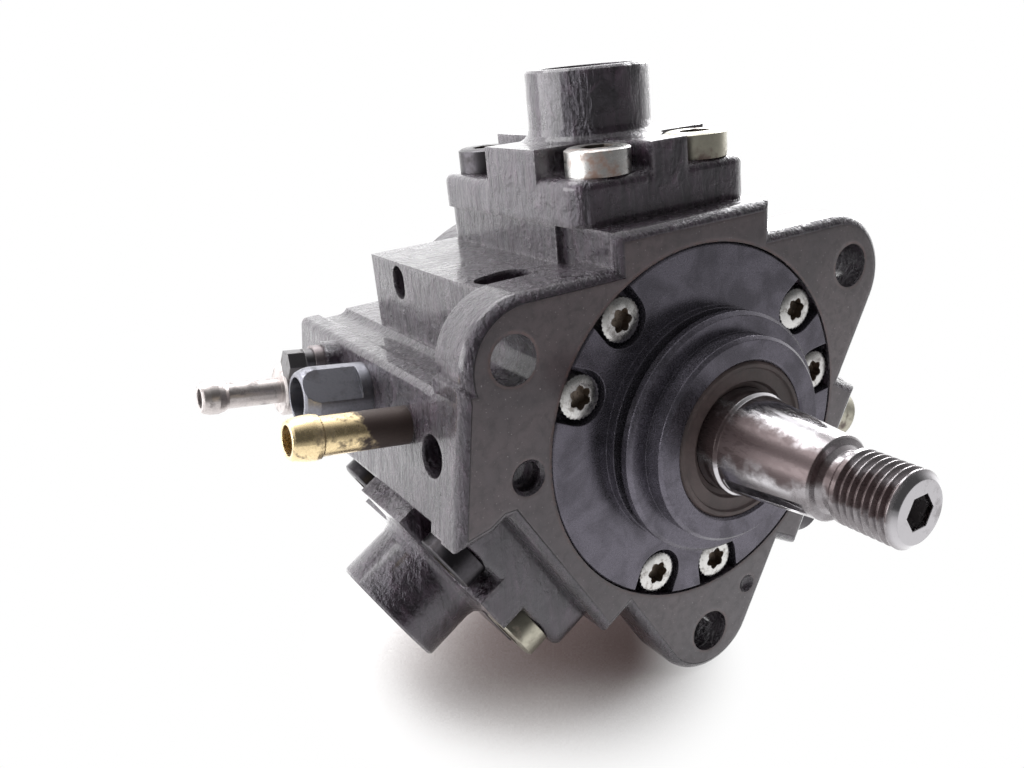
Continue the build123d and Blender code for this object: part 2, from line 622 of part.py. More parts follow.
with BuildPart() as head:
    with BuildSketch(Plane.XY.offset(SEAT_A)) as head_outline:
        with Locations((0, HEAD_Y + (HEAD_BACK - HEAD_FRONT) / 2)):
            RectangleRounded(2 * HEAD_X, HEAD_FRONT + HEAD_BACK, HEAD_CORNER_R)
    extrude(amount=HEAD_H)
    # corner pockets of the four screws
    for sx in (-1, 1):
        for sy, y, floor_z in (
            (-1, HEAD_Y - SCREW_FRONT, FRONT_POCKET_Z),
            (1, HEAD_Y + POCKET_BACK + POCKET_R, BACK_POCKET_Z),
        ):
            x = sx * SCREW_X
            with BuildSketch(Plane.XY.offset(floor_z)):
                with Locations((x, y)):
                    Circle(POCKET_R)
                with Locations((x + sx * HEAD_X / 2, y)):
                    Rectangle(HEAD_X, 2 * POCKET_R)
                with Locations((x, y + sy * HEAD_BACK / 2)):
                    Rectangle(2 * POCKET_R, HEAD_BACK)
                with Locations((x + sx * HEAD_X / 2, y + sy * HEAD_BACK / 2)):
                    Rectangle(HEAD_X, HEAD_BACK)
            extrude(amount=HEAD_H, mode=Mode.SUBTRACT)
    # rounded outer rims of the pocket floors
    for floor_z in (FRONT_POCKET_Z, BACK_POCKET_Z):
        rims = [
            e
            for e in head.edges().filter_by_position(Axis.Z, floor_z - 0.01, floor_z + 0.01)
            if abs(e.center().X) > HEAD_X - RIM_R
            or e.center().Y < HEAD_Y - HEAD_FRONT + RIM_R
            or e.center().Y > HEAD_Y + HEAD_BACK - RIM_R
        ]
        fillet(rims, RIM_R)
    # boss over the plunger
    turned_z(
        [
            (0, SEAT_A + 5),
            (BOSS_R, SEAT_A + 5),
            (BOSS_R + 2.6, HEAD_TOP - 0.4),
            (BOSS_R + 1.2, HEAD_TOP + 0.35),
            (BOSS_R + 0.35, HEAD_TOP + 1.2),
            (BOSS_R, HEAD_TOP + 2.6),
            (BOSS_R, BOSS_TOP - 0.5),
            (BOSS_R - 0.5, BOSS_TOP),
            (0, BOSS_TOP),
        ],
        HEAD_Y,
    )
    # nose that enters the housing and guides the plunger
    turned_z(
        [
            (0, SEAT_A + 0.5),
            (HEAD_BORE_R - FIT, SEAT_A + 0.5),
            (HEAD_BORE_R - FIT, HEAD_O_RING_Z + 1.0),
            (HEAD_BORE_R - 2 * HEAD_O_RING - 0.05, HEAD_O_RING_Z + 1.0),
            (HEAD_BORE_R - 2 * HEAD_O_RING - 0.05, HEAD_O_RING_Z - 1.0),
            (HEAD_BORE_R - FIT, HEAD_O_RING_Z - 1.0),
            (HEAD_BORE_R - FIT, NOSE_IN),
            (GUIDE_R, NOSE_IN),
            (GUIDE_R, NOSE_TIP),
            (0, NOSE_TIP),
        ],
        HEAD_Y,
    )
    # plunger bore, valve chamber and plug bore
    zcyl(PLUNGER_R + 0.02, NOSE_TIP - 1.0, CHAMBER_Z0 + 0.5, 0, HEAD_Y, mode=Mode.SUBTRACT)
    zcyl(CHAMBER_R, CHAMBER_Z0, CHAMBER_Z1 + 0.5, 0, HEAD_Y, mode=Mode.SUBTRACT)
    zcyl(PLUG_R + FIT, CHAMBER_Z1, BOSS_TOP + 1.0, 0, HEAD_Y, mode=Mode.SUBTRACT)
    zcyl(PLUG_R + 2.0, PLUG_TOP, BOSS_TOP + 1.0, 0, HEAD_Y, mode=Mode.SUBTRACT)
    # inlet drilling from the seat up to the plug's groove
    zcyl(1.25, SEAT_A - 1.0, CHAMBER_Z1 + 3.0, 0, HEAD_Y - PLUG_R - 0.6, mode=Mode.SUBTRACT)
    # outlet drilling, ball chamber and its plug bore, and the way down to the seat
    ycyl(OUTLET_R, HEAD_Y, BALL_Y0 + 0.5, 0, OUTLET_Z, mode=Mode.SUBTRACT)
    ycyl(BALL_CHAMBER_R, BALL_Y0, OUTLET_PLUG_Y + 0.5, 0, OUTLET_Z, mode=Mode.SUBTRACT)
    ycyl(
        BALL_CHAMBER_R + 0.2 + FIT,
        OUTLET_PLUG_Y,
        HEAD_Y + HEAD_BACK + 1.0,
        0,
        OUTLET_Z,
        mode=Mode.SUBTRACT,
    )
    zcyl(OUTLET_R, SEAT_A - 1.0, OUTLET_Z, 0, OUTLET_Y, mode=Mode.SUBTRACT)
    for x, y, floor_z in head_screws_at:
        zcyl(SCREW_R + 0.5, SEAT_A - 1.0, floor_z + 1.0, x, y, mode=Mode.SUBTRACT)

with BuildPart() as head_screws:
    for x, y, floor_z in head_screws_at:
        top_z = floor_z + SCREW_HEAD_L
        zcyl(SCREW_R, SEAT_A - SCREW_DEPTH + 0.3, floor_z + 0.1, x, y)
        zcyl(SCREW_HEAD_R, floor_z, top_z - SCREW_BREAK, x, y)
        with Locations((x, y, top_z - SCREW_BREAK / 2)):
            Cone(SCREW_HEAD_R, SCREW_HEAD_R - SCREW_BREAK, SCREW_BREAK)
        with BuildSketch(Plane.XY.offset(top_z + 0.2)) as socket:
            with Locations((x, y)):
                RegularPolygon(SCREW_KEY_R, 6)
        extrude(socket.sketch, amount=-3.6, mode=Mode.SUBTRACT)

with BuildPart() as head_plug:
    turned_z(
        [
            (0, CHAMBER_Z1),
            (PLUG_R, CHAMBER_Z1),
            (PLUG_R, CHAMBER_Z1 + 2.0),
            (PLUG_R - 1.2, CHAMBER_Z1 + 2.0),
            (PLUG_R - 1.2, CHAMBER_Z1 + 4.0),
            (PLUG_R, CHAMBER_Z1 + 4.0),
            (PLUG_R, PLUG_TOP),
            (0, PLUG_TOP),
        ],
        HEAD_Y,
    )
    zcyl(1.8, CHAMBER_Z1 - 1.0, CHAMBER_Z1 + 4.0, 0, HEAD_Y, mode=Mode.SUBTRACT)
    ycyl(1.0, HEAD_Y - PLUG_R - 1.0, HEAD_Y, 0, CHAMBER_Z1 + 3.0, mode=Mode.SUBTRACT)
    with BuildSketch(Plane.XY.offset(PLUG_TOP + 0.5)):
        with Locations((0, HEAD_Y)):
            RegularPolygon(4.62, 6)
    extrude(amount=-5.0, mode=Mode.SUBTRACT)

with BuildPart() as head_o_ring:
    with Locations((0, HEAD_Y, HEAD_O_RING_Z)):
        Torus(HEAD_BORE_R - HEAD_O_RING - 0.01, HEAD_O_RING)

with BuildPart() as inlet_valve:
    zcyl(CHAMBER_R - 1.0, CHAMBER_Z1 - 1.42, CHAMBER_Z1 - 0.02, 0, HEAD_Y)
    zcyl(2.2, CHAMBER_Z1 - 2.4, CHAMBER_Z1 - 1.3, 0, HEAD_Y)

with BuildPart() as inlet_spring:
    coil(CHAMBER_R - 1.7, 0.4, CHAMBER_Z1 - 1.44 - (CHAMBER_Z0 + 0.01), 4)

with BuildPart() as outlet_ball:
    with Locations((0, BALL_Y, OUTLET_Z)):
        Sphere(BALL_R)

with BuildPart() as outlet_plug:
    ycyl(BALL_CHAMBER_R + 0.2, OUTLET_PLUG_Y, HEAD_Y + HEAD_BACK - 0.3, 0, OUTLET_Z)
    ycyl(1.0, OUTLET_PLUG_Y - 2.0, OUTLET_PLUG_Y + 0.5, 0, OUTLET_Z)
    with BuildSketch(front(HEAD_Y + HEAD_BACK)):
        with Locations((0, OUTLET_Z)):
            RegularPolygon(1.73, 6)
    extrude(amount=3.0, mode=Mode.SUBTRACT)

OUTLET_SPRING_L = OUTLET_PLUG_Y - 0.02 - (BALL_Y + BALL_R * 0.8)
with BuildPart() as outlet_spring:
    coil(BALL_R - 0.5, 0.3, OUTLET_SPRING_L, 5)
outlet_spring_at = Location((0, OUTLET_PLUG_Y - 0.01, OUTLET_Z), (90, 0, 0))
inlet_spring_at = Location((0, HEAD_Y, CHAMBER_Z0 + 0.01))

# plunger with its foot, and the spring plate that sits on the foot, from the foot's face up
PLUNGER_L = OUTLET_Z - OUTLET_R - 0.6 - FLAT_TDC
PLATE_T = 1.5
FOOT_GAP = 0.02
with BuildPart() as plunger:
    turned_z(
        [
            (0, 0),
            (PLUNGER_R + 1.2, 0),
            (PLUNGER_R + 1.6, 0.4),
            (PLUNGER_R + 1.6, FOOT_T),
            (PLUNGER_R, FOOT_T),
            (PLUNGER_R, PLUNGER_L - 0.4),
            (PLUNGER_R - 0.4, PLUNGER_L),
            (0, PLUNGER_L),
        ],
        HEAD_Y,
    )

with BuildPart() as spring_plate:
    turned_z(
        [
            (PLUNGER_R + 0.03, FOOT_T),
            (HEAD_BORE_R - 1.9, FOOT_T),
            (HEAD_BORE_R - 1.9, FOOT_T + PLATE_T),
            (PLUNGER_R + 0.03, FOOT_T + PLATE_T),
        ],
        HEAD_Y,
    )

for place, angle in HEADS.items():
    lift = ECCENTRICITY * cos(radians(REST_ANGLE - angle))
    foot = RING_FLAT + lift + FOOT_GAP
    to_head(head.part, place + "_head", angle)
    to_head(head_screws.part, place + "_head_screws", angle)
    to_head(head_plug.part, place + "_head_plug", angle)
    to_head(head_o_ring.part, place + "_head_o_ring", angle)
    to_head(inlet_valve.part, place + "_inlet_valve", angle)
    to_head(inlet_spring_at * inlet_spring.part, place + "_inlet_spring", angle)
    to_head(outlet_ball.part, place + "_outlet_ball", angle)
    to_head(outlet_spring_at * outlet_spring.part, place + "_outlet_spring", angle)
    to_head(outlet_plug.part, place + "_outlet_plug", angle)
    to_head(Location((0, 0, foot)) * plunger.part, place + "_plunger", angle)
    to_head(Location((0, 0, foot)) * spring_plate.part, place + "_spring_plate", angle)
    spring_z = foot + FOOT_T + PLATE_T + 0.01
    with BuildPart() as plunger_spring:
        coil(GUIDE_R + 1.35, 0.75, NOSE_IN - 0.01 - spring_z, 4.5)
    to_head(
        Location((0, HEAD_Y, spring_z)) * plunger_spring.part,
        place + "_plunger_spring",
        angle,
    )

# ------------------------------------------------------------------ fittings of the left wall
def wall_fitting(y, z, points, bore):
    plane = wall_plane(y, z)
    turned_on(plane, points)
    for r, a, b in bore:
        on_wall(plane, r, a, b, mode=Mode.SUBTRACT)
    return plane


RETURN_L = 23.4
with BuildPart() as return_nozzle:
    wall_fitting(
        RETURN_Y,
        RETURN_Z,
        [
            (0, -7.9),
            (RETURN_R, -7.9),
            (RETURN_R, RETURN_L - 6.0),
            (RETURN_R + 0.4, RETURN_L - 5.7),
            (RETURN_R + 0.6, RETURN_L - 4.6),
            (RETURN_R + 0.5, RETURN_L - 2.8),
            (RETURN_R + 0.1, RETURN_L - 0.5),
            (RETURN_R - 0.3, RETURN_L),
            (0, RETURN_L),
        ],
        [(RETURN_R - 0.9, -8.5, RETURN_L + 1.0)],
    )
finish(return_nozzle.part, "return_nozzle")

HP_L = 14.3
HP_THREAD_R = 4.4  # core of an M10 x 1 thread
HP_FLAT_T = 1.2  # depth of its two flats
HP_FLAT_Z = 2.4  # height at which they start
HP_FLAT_ANGLE = 40.0
with BuildPart() as high_pressure_outlet:
    plane = wall_fitting(
        HP_Y,
        HP_Z,
        [
            (0, -8.9),
            (HP_STEM_R, -8.9),
            (HP_STEM_R, 0.0),
            (HP_R, 0.0),
            (HP_R, HP_L - 3.0),
            (HP_R - 0.3, HP_L - 1.6),
            (HP_R - 0.8, HP_L - 0.5),
            (HP_R - 1.3, HP_L),
            (0, HP_L),
        ],
        [(HP_THREAD_R, HP_L - 9.0, HP_L + 1.0), (1.5, -9.5, HP_L - 8.5)],
    )
    for angle in (HP_FLAT_ANGLE, HP_FLAT_ANGLE + 180.0):
        with BuildSketch(plane.offset(HP_FLAT_Z)):
            with Locations(Location((*polar(HP_R - HP_FLAT_T + HP_R, angle), 0), (0, 0, angle))):
                Rectangle(2 * HP_R, 4 * HP_R)
        extrude(amount=HP_L, mode=Mode.SUBTRACT)
finish(high_pressure_outlet.part, "high_pressure_outlet")

INLET_L = 28.3
NECK_L = PAD_OUT + 7.2
with BuildPart() as inlet_nozzle:
    wall_fitting(
        INLET_Y,
        INLET_Z,
        [
            (0, -11.9),
            (INLET_R, -11.9),
            (INLET_R, -3.0),
            (COLLAR_R, -3.0),
            (COLLAR_R, PAD_OUT),
            (NECK_R, PAD_OUT),
            (NECK_R, NECK_L - 0.5),
            (NECK_R - 0.5, NECK_L),
            (INLET_R, NECK_L),
            (INLET_R, INLET_L - 5.8),
            (INLET_R + 0.5, INLET_L - 5.0),
            (INLET_R + 0.9, INLET_L - 3.6),
            (INLET_R + 0.9, INLET_L - 1.8),
            (INLET_R + 0.5, INLET_L - 0.4),
            (INLET_R + 0.1, INLET_L),
            (0, INLET_L),
        ],
        [(INLET_R - 0.7, -12.5, INLET_L + 1.0)],
    )
finish(inlet_nozzle.part, "inlet_nozzle")

PLATE_OUT = 2.2
with BuildPart() as retaining_plate:
    plane = wall_plane((INLET_Y + BOLT_Y) / 2, (INLET_Z + BOLT_Z) / 2, PAD_OUT)
    c = cos(radians(WALL_TILT))
    with BuildSketch(plane) as plate_outline:
        dy = (INLET_Y - BOLT_Y) / 2
        dz = (BOLT_Z - INLET_Z) / 2
        with Locations((-dy, -dz / c)):
            Circle(COLLAR_R)
        with Locations((dy, dz / c)):
            Circle(PLATE_BOLT_R + 1.8)
        make_hull()
        with Locations((-dy, -dz / c)):
            Circle(NECK_R + 0.05, mode=Mode.SUBTRACT)
        with Locations((dy, dz / c)):
            Circle(PLATE_BOLT_R + 0.2, mode=Mode.SUBTRACT)
    extrude(amount=PLATE_OUT)
finish(retaining_plate.part, "retaining_plate")

PLATE_BOLT_Z = PAD_OUT + PLATE_OUT + 2.0
PLATE_HEX_R = 3.3
PLATE_HEX_H = 3.8
with BuildPart() as plate_bolt:
    plane = wall_plane(BOLT_Y, BOLT_Z)
    on_wall(plane, PLATE_BOLT_R, -8.0, PLATE_BOLT_Z)
    on_wall(plane, PLATE_BOLT_R + 1.2, PAD_OUT + PLATE_OUT, PLATE_BOLT_Z)
    with BuildSketch(plane.offset(PLATE_BOLT_Z)):
        RegularPolygon(PLATE_HEX_R, 6)
    extrude(amount=PLATE_HEX_H)
finish(plate_bolt.part, "plate_bolt")

# ------------------------------------------------------------------ metering unit at the back
CAN_R = 11.5
CAN_L = 22.0
METER_EAR = 15.5
with BuildPart() as metering_unit:
    ycyl(METER_BORE_R - FIT, REAR_BORE_Y + 8.0, HOUSING_L + 1.0)
    with BuildSketch(front(HOUSING_L)):
        for s in (-1, 1):
            with Locations((s * METER_EAR, 0)):
                Circle(4.4)
        Circle(CAN_R + 0.8)
        make_hull()
        for s in (-1, 1):
            with Locations((s * METER_EAR, 0)):
                Circle(2.3, mode=Mode.SUBTRACT)
    extrude(amount=-4.0)
    turned(
        [
            (0, HOUSING_L + 3.0),
            (CAN_R - 0.6, HOUSING_L + 3.0),
            (CAN_R - 0.6, HOUSING_L + 5.0),
            (CAN_R, HOUSING_L + 5.6),
            (CAN_R, HOUSING_L + CAN_L - 1.5),
            (CAN_R - 1.5, HOUSING_L + CAN_L),
            (0, HOUSING_L + CAN_L),
        ]
    )
    # bore of the spool and the room of its spring
    ycyl(3.0 + 0.02, REAR_BORE_Y + 7.0, HOUSING_L + 6.5, mode=Mode.SUBTRACT)
    ycyl(5.0, HOUSING_L + 6.0, HOUSING_L + CAN_L - 3.0, mode=Mode.SUBTRACT)
finish(metering_unit.part, "metering_unit")

with BuildPart() as metering_connector:
    block(CAN_R - 1.6, CAN_R + 6.0, HOUSING_L + 9.2, HOUSING_L + 19.2, -5.0, 5.0)
    block(CAN_R + 5.5, CAN_R + 16.0, HOUSING_L + 8.2, HOUSING_L + 20.2, -7.0, 7.0)
    block(
        CAN_R + 7.5,
        CAN_R + 17.0,
        HOUSING_L + 9.6,
        HOUSING_L + 18.8,
        -5.6,
        5.6,
        mode=Mode.SUBTRACT,
    )
    ycyl(CAN_R + FIT, HOUSING_L + 5.0, HOUSING_L + 21.0, mode=Mode.SUBTRACT)
    for s in (-1, 1):
        block(
            CAN_R + 7.0,
            CAN_R + 13.5,
            HOUSING_L + 13.8,
            HOUSING_L + 14.6,
            s * 2.5 - 0.4,
            s * 2.5 + 0.4,
        )
finish(metering_connector.part, "metering_connector")

with BuildPart() as metering_spool:
    turned(
        [
            (0, REAR_BORE_Y + 8.2),
            (3.0, REAR_BORE_Y + 8.2),
            (3.0, REAR_BORE_Y + 11.5),
            (2.0, REAR_BORE_Y + 12.0),
            (2.0, REAR_BORE_Y + 15.0),
            (3.0, REAR_BORE_Y + 15.5),
            (3.0, HOUSING_L + 6.53),
            (4.4, HOUSING_L + 6.53),
            (4.4, HOUSING_L + 8.0),
            (0, HOUSING_L + 8.0),
        ]
    )
finish(metering_spool.part, "metering_spool")

with BuildPart() as metering_spring:
    coil(3.8, 0.45, CAN_L - 3.0 - 8.0 - 0.02, 5)
with BuildPart() as metering_spring_placed:
    add(
        Location((0, HOUSING_L + CAN_L - 3.01, 0), (90, 0, 0)) * metering_spring.part
    )
finish(metering_spring_placed.part, "metering_spring")

with BuildPart() as metering_screws:
    for s in (-1, 1):
        x = s * METER_EAR
        ycyl(2.0, HOUSING_L - 8.0, HOUSING_L + 4.1, x, 0)
        ycyl(3.6, HOUSING_L + 4.0, HOUSING_L + 7.6, x, 0)
    with BuildSketch(front(HOUSING_L + 8.0)):
        for s in (-1, 1):
            with Locations((s * METER_EAR, 0)):
                RegularPolygon(1.9, 6)
    extrude(amount=2.6, mode=Mode.SUBTRACT)
finish(metering_screws.part, "metering_screws")
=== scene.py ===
"""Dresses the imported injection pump: finishes, detailed small pieces, stage, lamps and camera."""

import math

import bmesh
import bpy
from mathutils import Matrix, Vector


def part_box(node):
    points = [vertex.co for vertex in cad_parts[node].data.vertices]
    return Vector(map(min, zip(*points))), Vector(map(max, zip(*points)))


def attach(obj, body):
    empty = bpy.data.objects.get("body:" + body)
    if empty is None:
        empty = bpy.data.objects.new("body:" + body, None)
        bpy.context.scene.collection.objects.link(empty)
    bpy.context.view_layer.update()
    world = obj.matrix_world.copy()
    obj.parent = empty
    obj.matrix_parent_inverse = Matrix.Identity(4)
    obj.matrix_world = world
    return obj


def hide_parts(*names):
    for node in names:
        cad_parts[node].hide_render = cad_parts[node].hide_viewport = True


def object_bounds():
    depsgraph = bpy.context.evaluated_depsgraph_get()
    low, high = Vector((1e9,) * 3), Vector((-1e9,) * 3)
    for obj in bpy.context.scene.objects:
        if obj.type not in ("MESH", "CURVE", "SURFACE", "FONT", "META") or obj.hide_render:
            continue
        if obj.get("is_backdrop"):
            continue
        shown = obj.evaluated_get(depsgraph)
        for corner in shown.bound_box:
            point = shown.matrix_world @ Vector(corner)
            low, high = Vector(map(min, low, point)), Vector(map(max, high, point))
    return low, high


bl_info = {
    "name": "Radial injection pump",
    "version": (1, 0, 0),
    "blender": (4, 5, 0),
    "location": "3D View > Sidebar > Pump",
    "description": "Finishes, fasteners and studio for a radial diesel injection pump",
    "category": "Object",
}

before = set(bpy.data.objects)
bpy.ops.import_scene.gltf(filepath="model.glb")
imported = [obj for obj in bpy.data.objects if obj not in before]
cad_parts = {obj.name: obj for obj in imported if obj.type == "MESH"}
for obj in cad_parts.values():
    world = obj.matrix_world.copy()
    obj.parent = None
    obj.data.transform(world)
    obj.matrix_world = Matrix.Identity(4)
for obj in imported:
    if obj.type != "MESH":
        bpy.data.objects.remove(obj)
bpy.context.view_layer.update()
HEADS = {"top": 90.0, "left": 210.0, "right": 330.0}
MM = 0.001
SOCKET_OVERSHOOT = 1.0 * MM  # how far a socket's cutter stands proud of the head
SOCKET_LIP = 0.05 * MM  # faces deeper than this, and nearer the axis than the key, are the socket's
SOCKET_REACH = 5.0 * MM


# ---------------------------------------------------------------- finishes
class Finish:
    """A Principled material and the pattern nodes that feed it, with lengths in millimetres."""

    def __init__(self, name, colour=(0.5, 0.5, 0.5), roughness=0.5, metallic=0.0, **sockets):
        self.material = bpy.data.materials.new(name)
        self.material.use_nodes = True
        self.tree = self.material.node_tree
        self.tree.nodes.clear()
        output = self.node("ShaderNodeOutputMaterial")
        self.shader = self.node("ShaderNodeBsdfPrincipled")
        self.tree.links.new(self.shader.outputs[0], output.inputs["Surface"])
        self.shader.inputs["Base Color"].default_value = (*colour, 1.0)
        self.shader.inputs["Roughness"].default_value = roughness
        self.shader.inputs["Metallic"].default_value = metallic
        for socket, value in sockets.items():
            self.shader.inputs[socket.replace("_", " ")].default_value = value
        self.coords = self.node("ShaderNodeTexCoord").outputs["Object"]
        self.geometry = self.node("ShaderNodeNewGeometry")
        self.normal = None

    def node(self, kind, **settings):
        made = self.tree.nodes.new(kind)
        for name, value in settings.items():
            setattr(made, name, value)
        return made

    def feed(self, socket, value):
        """Joins a socket to another, or sets it to a number or colour."""
        if isinstance(value, bpy.types.NodeSocket):
            self.tree.links.new(value, socket)
        elif isinstance(value, (tuple, list)) and len(value) == 3 and socket.type == "RGBA":
            socket.default_value = (*value, 1.0)
        else:
            socket.default_value = value

    def place(self, stretch=(1.0, 1.0, 1.0), turn=(0.0, 0.0, 0.0)):
        """Object coordinates in millimetres, stretched along an axis where its factor is small."""
        mapping = self.node("ShaderNodeMapping")
        mapping.inputs["Rotation"].default_value = turn
        mapping.inputs["Scale"].default_value = [1000.0 * s for s in stretch]
        self.tree.links.new(self.coords, mapping.inputs["Vector"])
        return mapping.outputs[0]

    def noise(self, scale, detail=3.0, roughness=0.55, stretch=(1, 1, 1), turn=(0, 0, 0), distort=0.0):
        made = self.node("ShaderNodeTexNoise")
        self.feed(made.inputs["Vector"], self.place(stretch, turn))
        made.inputs["Scale"].default_value = scale
        made.inputs["Detail"].default_value = detail
        made.inputs["Roughness"].default_value = roughness
        made.inputs["Distortion"].default_value = distort
        return made.outputs[0]

    def remap(self, value, low, high, a=0.0, b=1.0):
        made = self.node("ShaderNodeMapRange", interpolation_type="SMOOTHSTEP")
        self.feed(made.inputs["Value"], value)
        for name, number in (("From Min", low), ("From Max", high), ("To Min", a), ("To Max", b)):
            made.inputs[name].default_value = number
        return made.outputs["Result"]

    def calc(self, operation, a, b=0.0):
        made = self.node("ShaderNodeMath", operation=operation)
        self.feed(made.inputs[0], a)
        self.feed(made.inputs[1], b)
        return made.outputs[0]

    def mix(self, mask, a, b):
        """Colour a where the mask is 0 and colour b where it is 1."""
        made = self.node("ShaderNodeMix", data_type="RGBA")
        self.feed(made.inputs["Factor"], mask)
        self.feed(made.inputs[6], a)
        self.feed(made.inputs[7], b)
        return made.outputs[2]

    def mix_value(self, mask, a, b):
        made = self.node("ShaderNodeMix", data_type="FLOAT")
        self.feed(made.inputs["Factor"], mask)
        self.feed(made.inputs[2], a)
        self.feed(made.inputs[3], b)
        return made.outputs[0]

    def split(self, vector):
        made = self.node("ShaderNodeSeparateXYZ")
        self.feed(made.inputs[0], vector)
        return made.outputs

    def round_edges(self, radius):
        """Shades the edges as rounded by a radius in millimetres."""
        made = self.node("ShaderNodeBevel", samples=4)
        made.inputs["Radius"].default_value = radius * MM
        self.normal = made.outputs[0]

    def edges(self, radius, low=0.01, high=0.16):
        """1 near an outer or inner edge, 0 on open surface."""
        made = self.node("ShaderNodeBevel", samples=4)
        made.inputs["Radius"].default_value = radius * MM
        dot = self.node("ShaderNodeVectorMath", operation="DOT_PRODUCT")
        self.feed(dot.inputs[0], made.outputs[0])
        self.feed(dot.inputs[1], self.geometry.outputs["Normal"])
        return self.remap(self.calc("SUBTRACT", 1.0, dot.outputs["Value"]), low, high)

    def bump(self, height, depth, strength=1.0):
        """Raises the surface by a pattern; depth is its height in millimetres."""
        made = self.node("ShaderNodeBump")
        made.inputs["Strength"].default_value = strength
        made.inputs["Distance"].default_value = depth * MM
        self.feed(made.inputs["Height"], height)
        if self.normal is not None:
            self.feed(made.inputs["Normal"], self.normal)
        self.normal = made.outputs[0]

    def done(self, colour=None, roughness=None, metallic=None):
        if colour is not None:
            self.feed(self.shader.inputs["Base Color"], colour)
        if roughness is not None:
            self.feed(self.shader.inputs["Roughness"], roughness)
        if metallic is not None:
            self.feed(self.shader.inputs["Metallic"], metallic)
        if self.normal is not None:
            self.feed(self.shader.inputs["Normal"], self.normal)
        return self.material


def wear(node, material):
    """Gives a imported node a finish."""
    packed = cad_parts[node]
    for slot in packed.material_slots:
        slot.material = material


def casting(name, tone, grain, streak_turn=(0.0, 0.0, 0.0), flat_in_front=False):
    """Oily blackened cast iron with runs down the surface, sand grain and lumps."""
    f = Finish(name, tone, 0.4, 0.0, Specular_IOR_Level=0.6, Coat_Weight=0.6, Coat_Roughness=0.12)
    f.shader.inputs["Specular Tint"].default_value = (0.92, 0.88, 1.0, 1.0)
    runs = f.noise(0.62, 5, 0.62, (1.0, 1.0, 0.13), streak_turn, 0.4)
    sand = f.noise(1.1, 5, 0.66)
    lumps = f.noise(0.33, 3, 0.55, (1.0, 1.0, 0.55), streak_turn, 0.6)
    stains = f.noise(0.06, 4, 0.6, distort=0.8)
    specks = f.noise(2.2, 2, 0.5)
    dark = tuple(c * 0.35 for c in tone)
    pale = tuple(c * 2.6 for c in tone)
    colour = f.mix(f.remap(runs, 0.36, 0.62), dark, tone)
    colour = f.mix(f.remap(stains, 0.50, 0.66, 0.0, 0.85), colour, tuple(c * 0.16 for c in tone))
    colour = f.mix(f.remap(lumps, 0.55, 0.72, 0.0, 0.55), colour, pale)
    colour = f.mix(f.remap(specks, 0.64, 0.72, 0.0, 0.6), colour, tuple(c * 0.12 for c in tone))
    # pale edges: partly real wear, partly a painted highlight along the edges
    worn = f.calc("MULTIPLY", f.edges(1.5, 0.02, 0.25), f.remap(sand, 0.38, 0.60))
    colour = f.mix(f.calc("MULTIPLY", worn, 0.75), colour, (0.24, 0.215, 0.23))
    rough = f.remap(f.noise(0.21, 4, 0.6), 0.32, 0.68, 0.17, 0.40)
    facing = f.split(f.geometry.outputs["True Normal"])
    ground = 0.0
    if flat_in_front:
        in_plane = f.remap(f.split(f.place())["Y"], 0.02, 0.12, 1.0, 0.0)
        ground = f.calc("MULTIPLY", f.remap(facing["Y"], -0.99, -0.95, 1.0, 0.0), in_plane)
    raised = f.calc("SUBTRACT", 1.0, ground)
    calm = f.remap(facing["Y"], -0.97, -0.70, 0.35, 1.0)
    rise = f.calc("MULTIPLY", raised, calm)
    f.round_edges(1.6)
    f.bump(f.calc("MULTIPLY", lumps, rise), 2.2 * grain, 1.0)
    f.bump(f.calc("MULTIPLY", runs, rise), 1.3 * grain, 1.0)
    f.bump(f.calc("MULTIPLY", sand, rise), 0.55 * grain, 1.0)
    return f, colour, rough, specks, ground


def housing_casting(tone, face_tone, grain):
    """The castings' iron, with the ground mounting face in front."""
    f, colour, rough, specks, ground = casting("housing iron", tone, grain, flat_in_front=True)
    marks = f.noise(0.5, 6, 0.7, distort=0.5)
    cloud = f.noise(0.045, 4, 0.55, distort=0.6)
    dull, bright = tuple(c * 0.72 for c in face_tone), tuple(c * 1.35 for c in face_tone)
    face = f.mix(f.remap(cloud, 0.32, 0.68), dull, bright)
    face = f.mix(f.remap(marks, 0.42, 0.70, 0.0, 0.55), face, tuple(c * 0.45 for c in face_tone))
    rust = f.calc("MULTIPLY", f.edges(1.6, 0.02, 0.2), f.remap(marks, 0.38, 0.55))
    face = f.mix(f.calc("MULTIPLY", rust, 0.75), face, (0.20, 0.105, 0.088))
    face = f.mix(f.remap(specks, 0.66, 0.74, 0.0, 0.55), face, (0.30, 0.27, 0.27))
    colour = f.mix(ground, colour, face)
    rough = f.mix_value(ground, rough, f.remap(marks, 0.3, 0.7, 0.36, 0.56))
    return f.done(colour, rough)


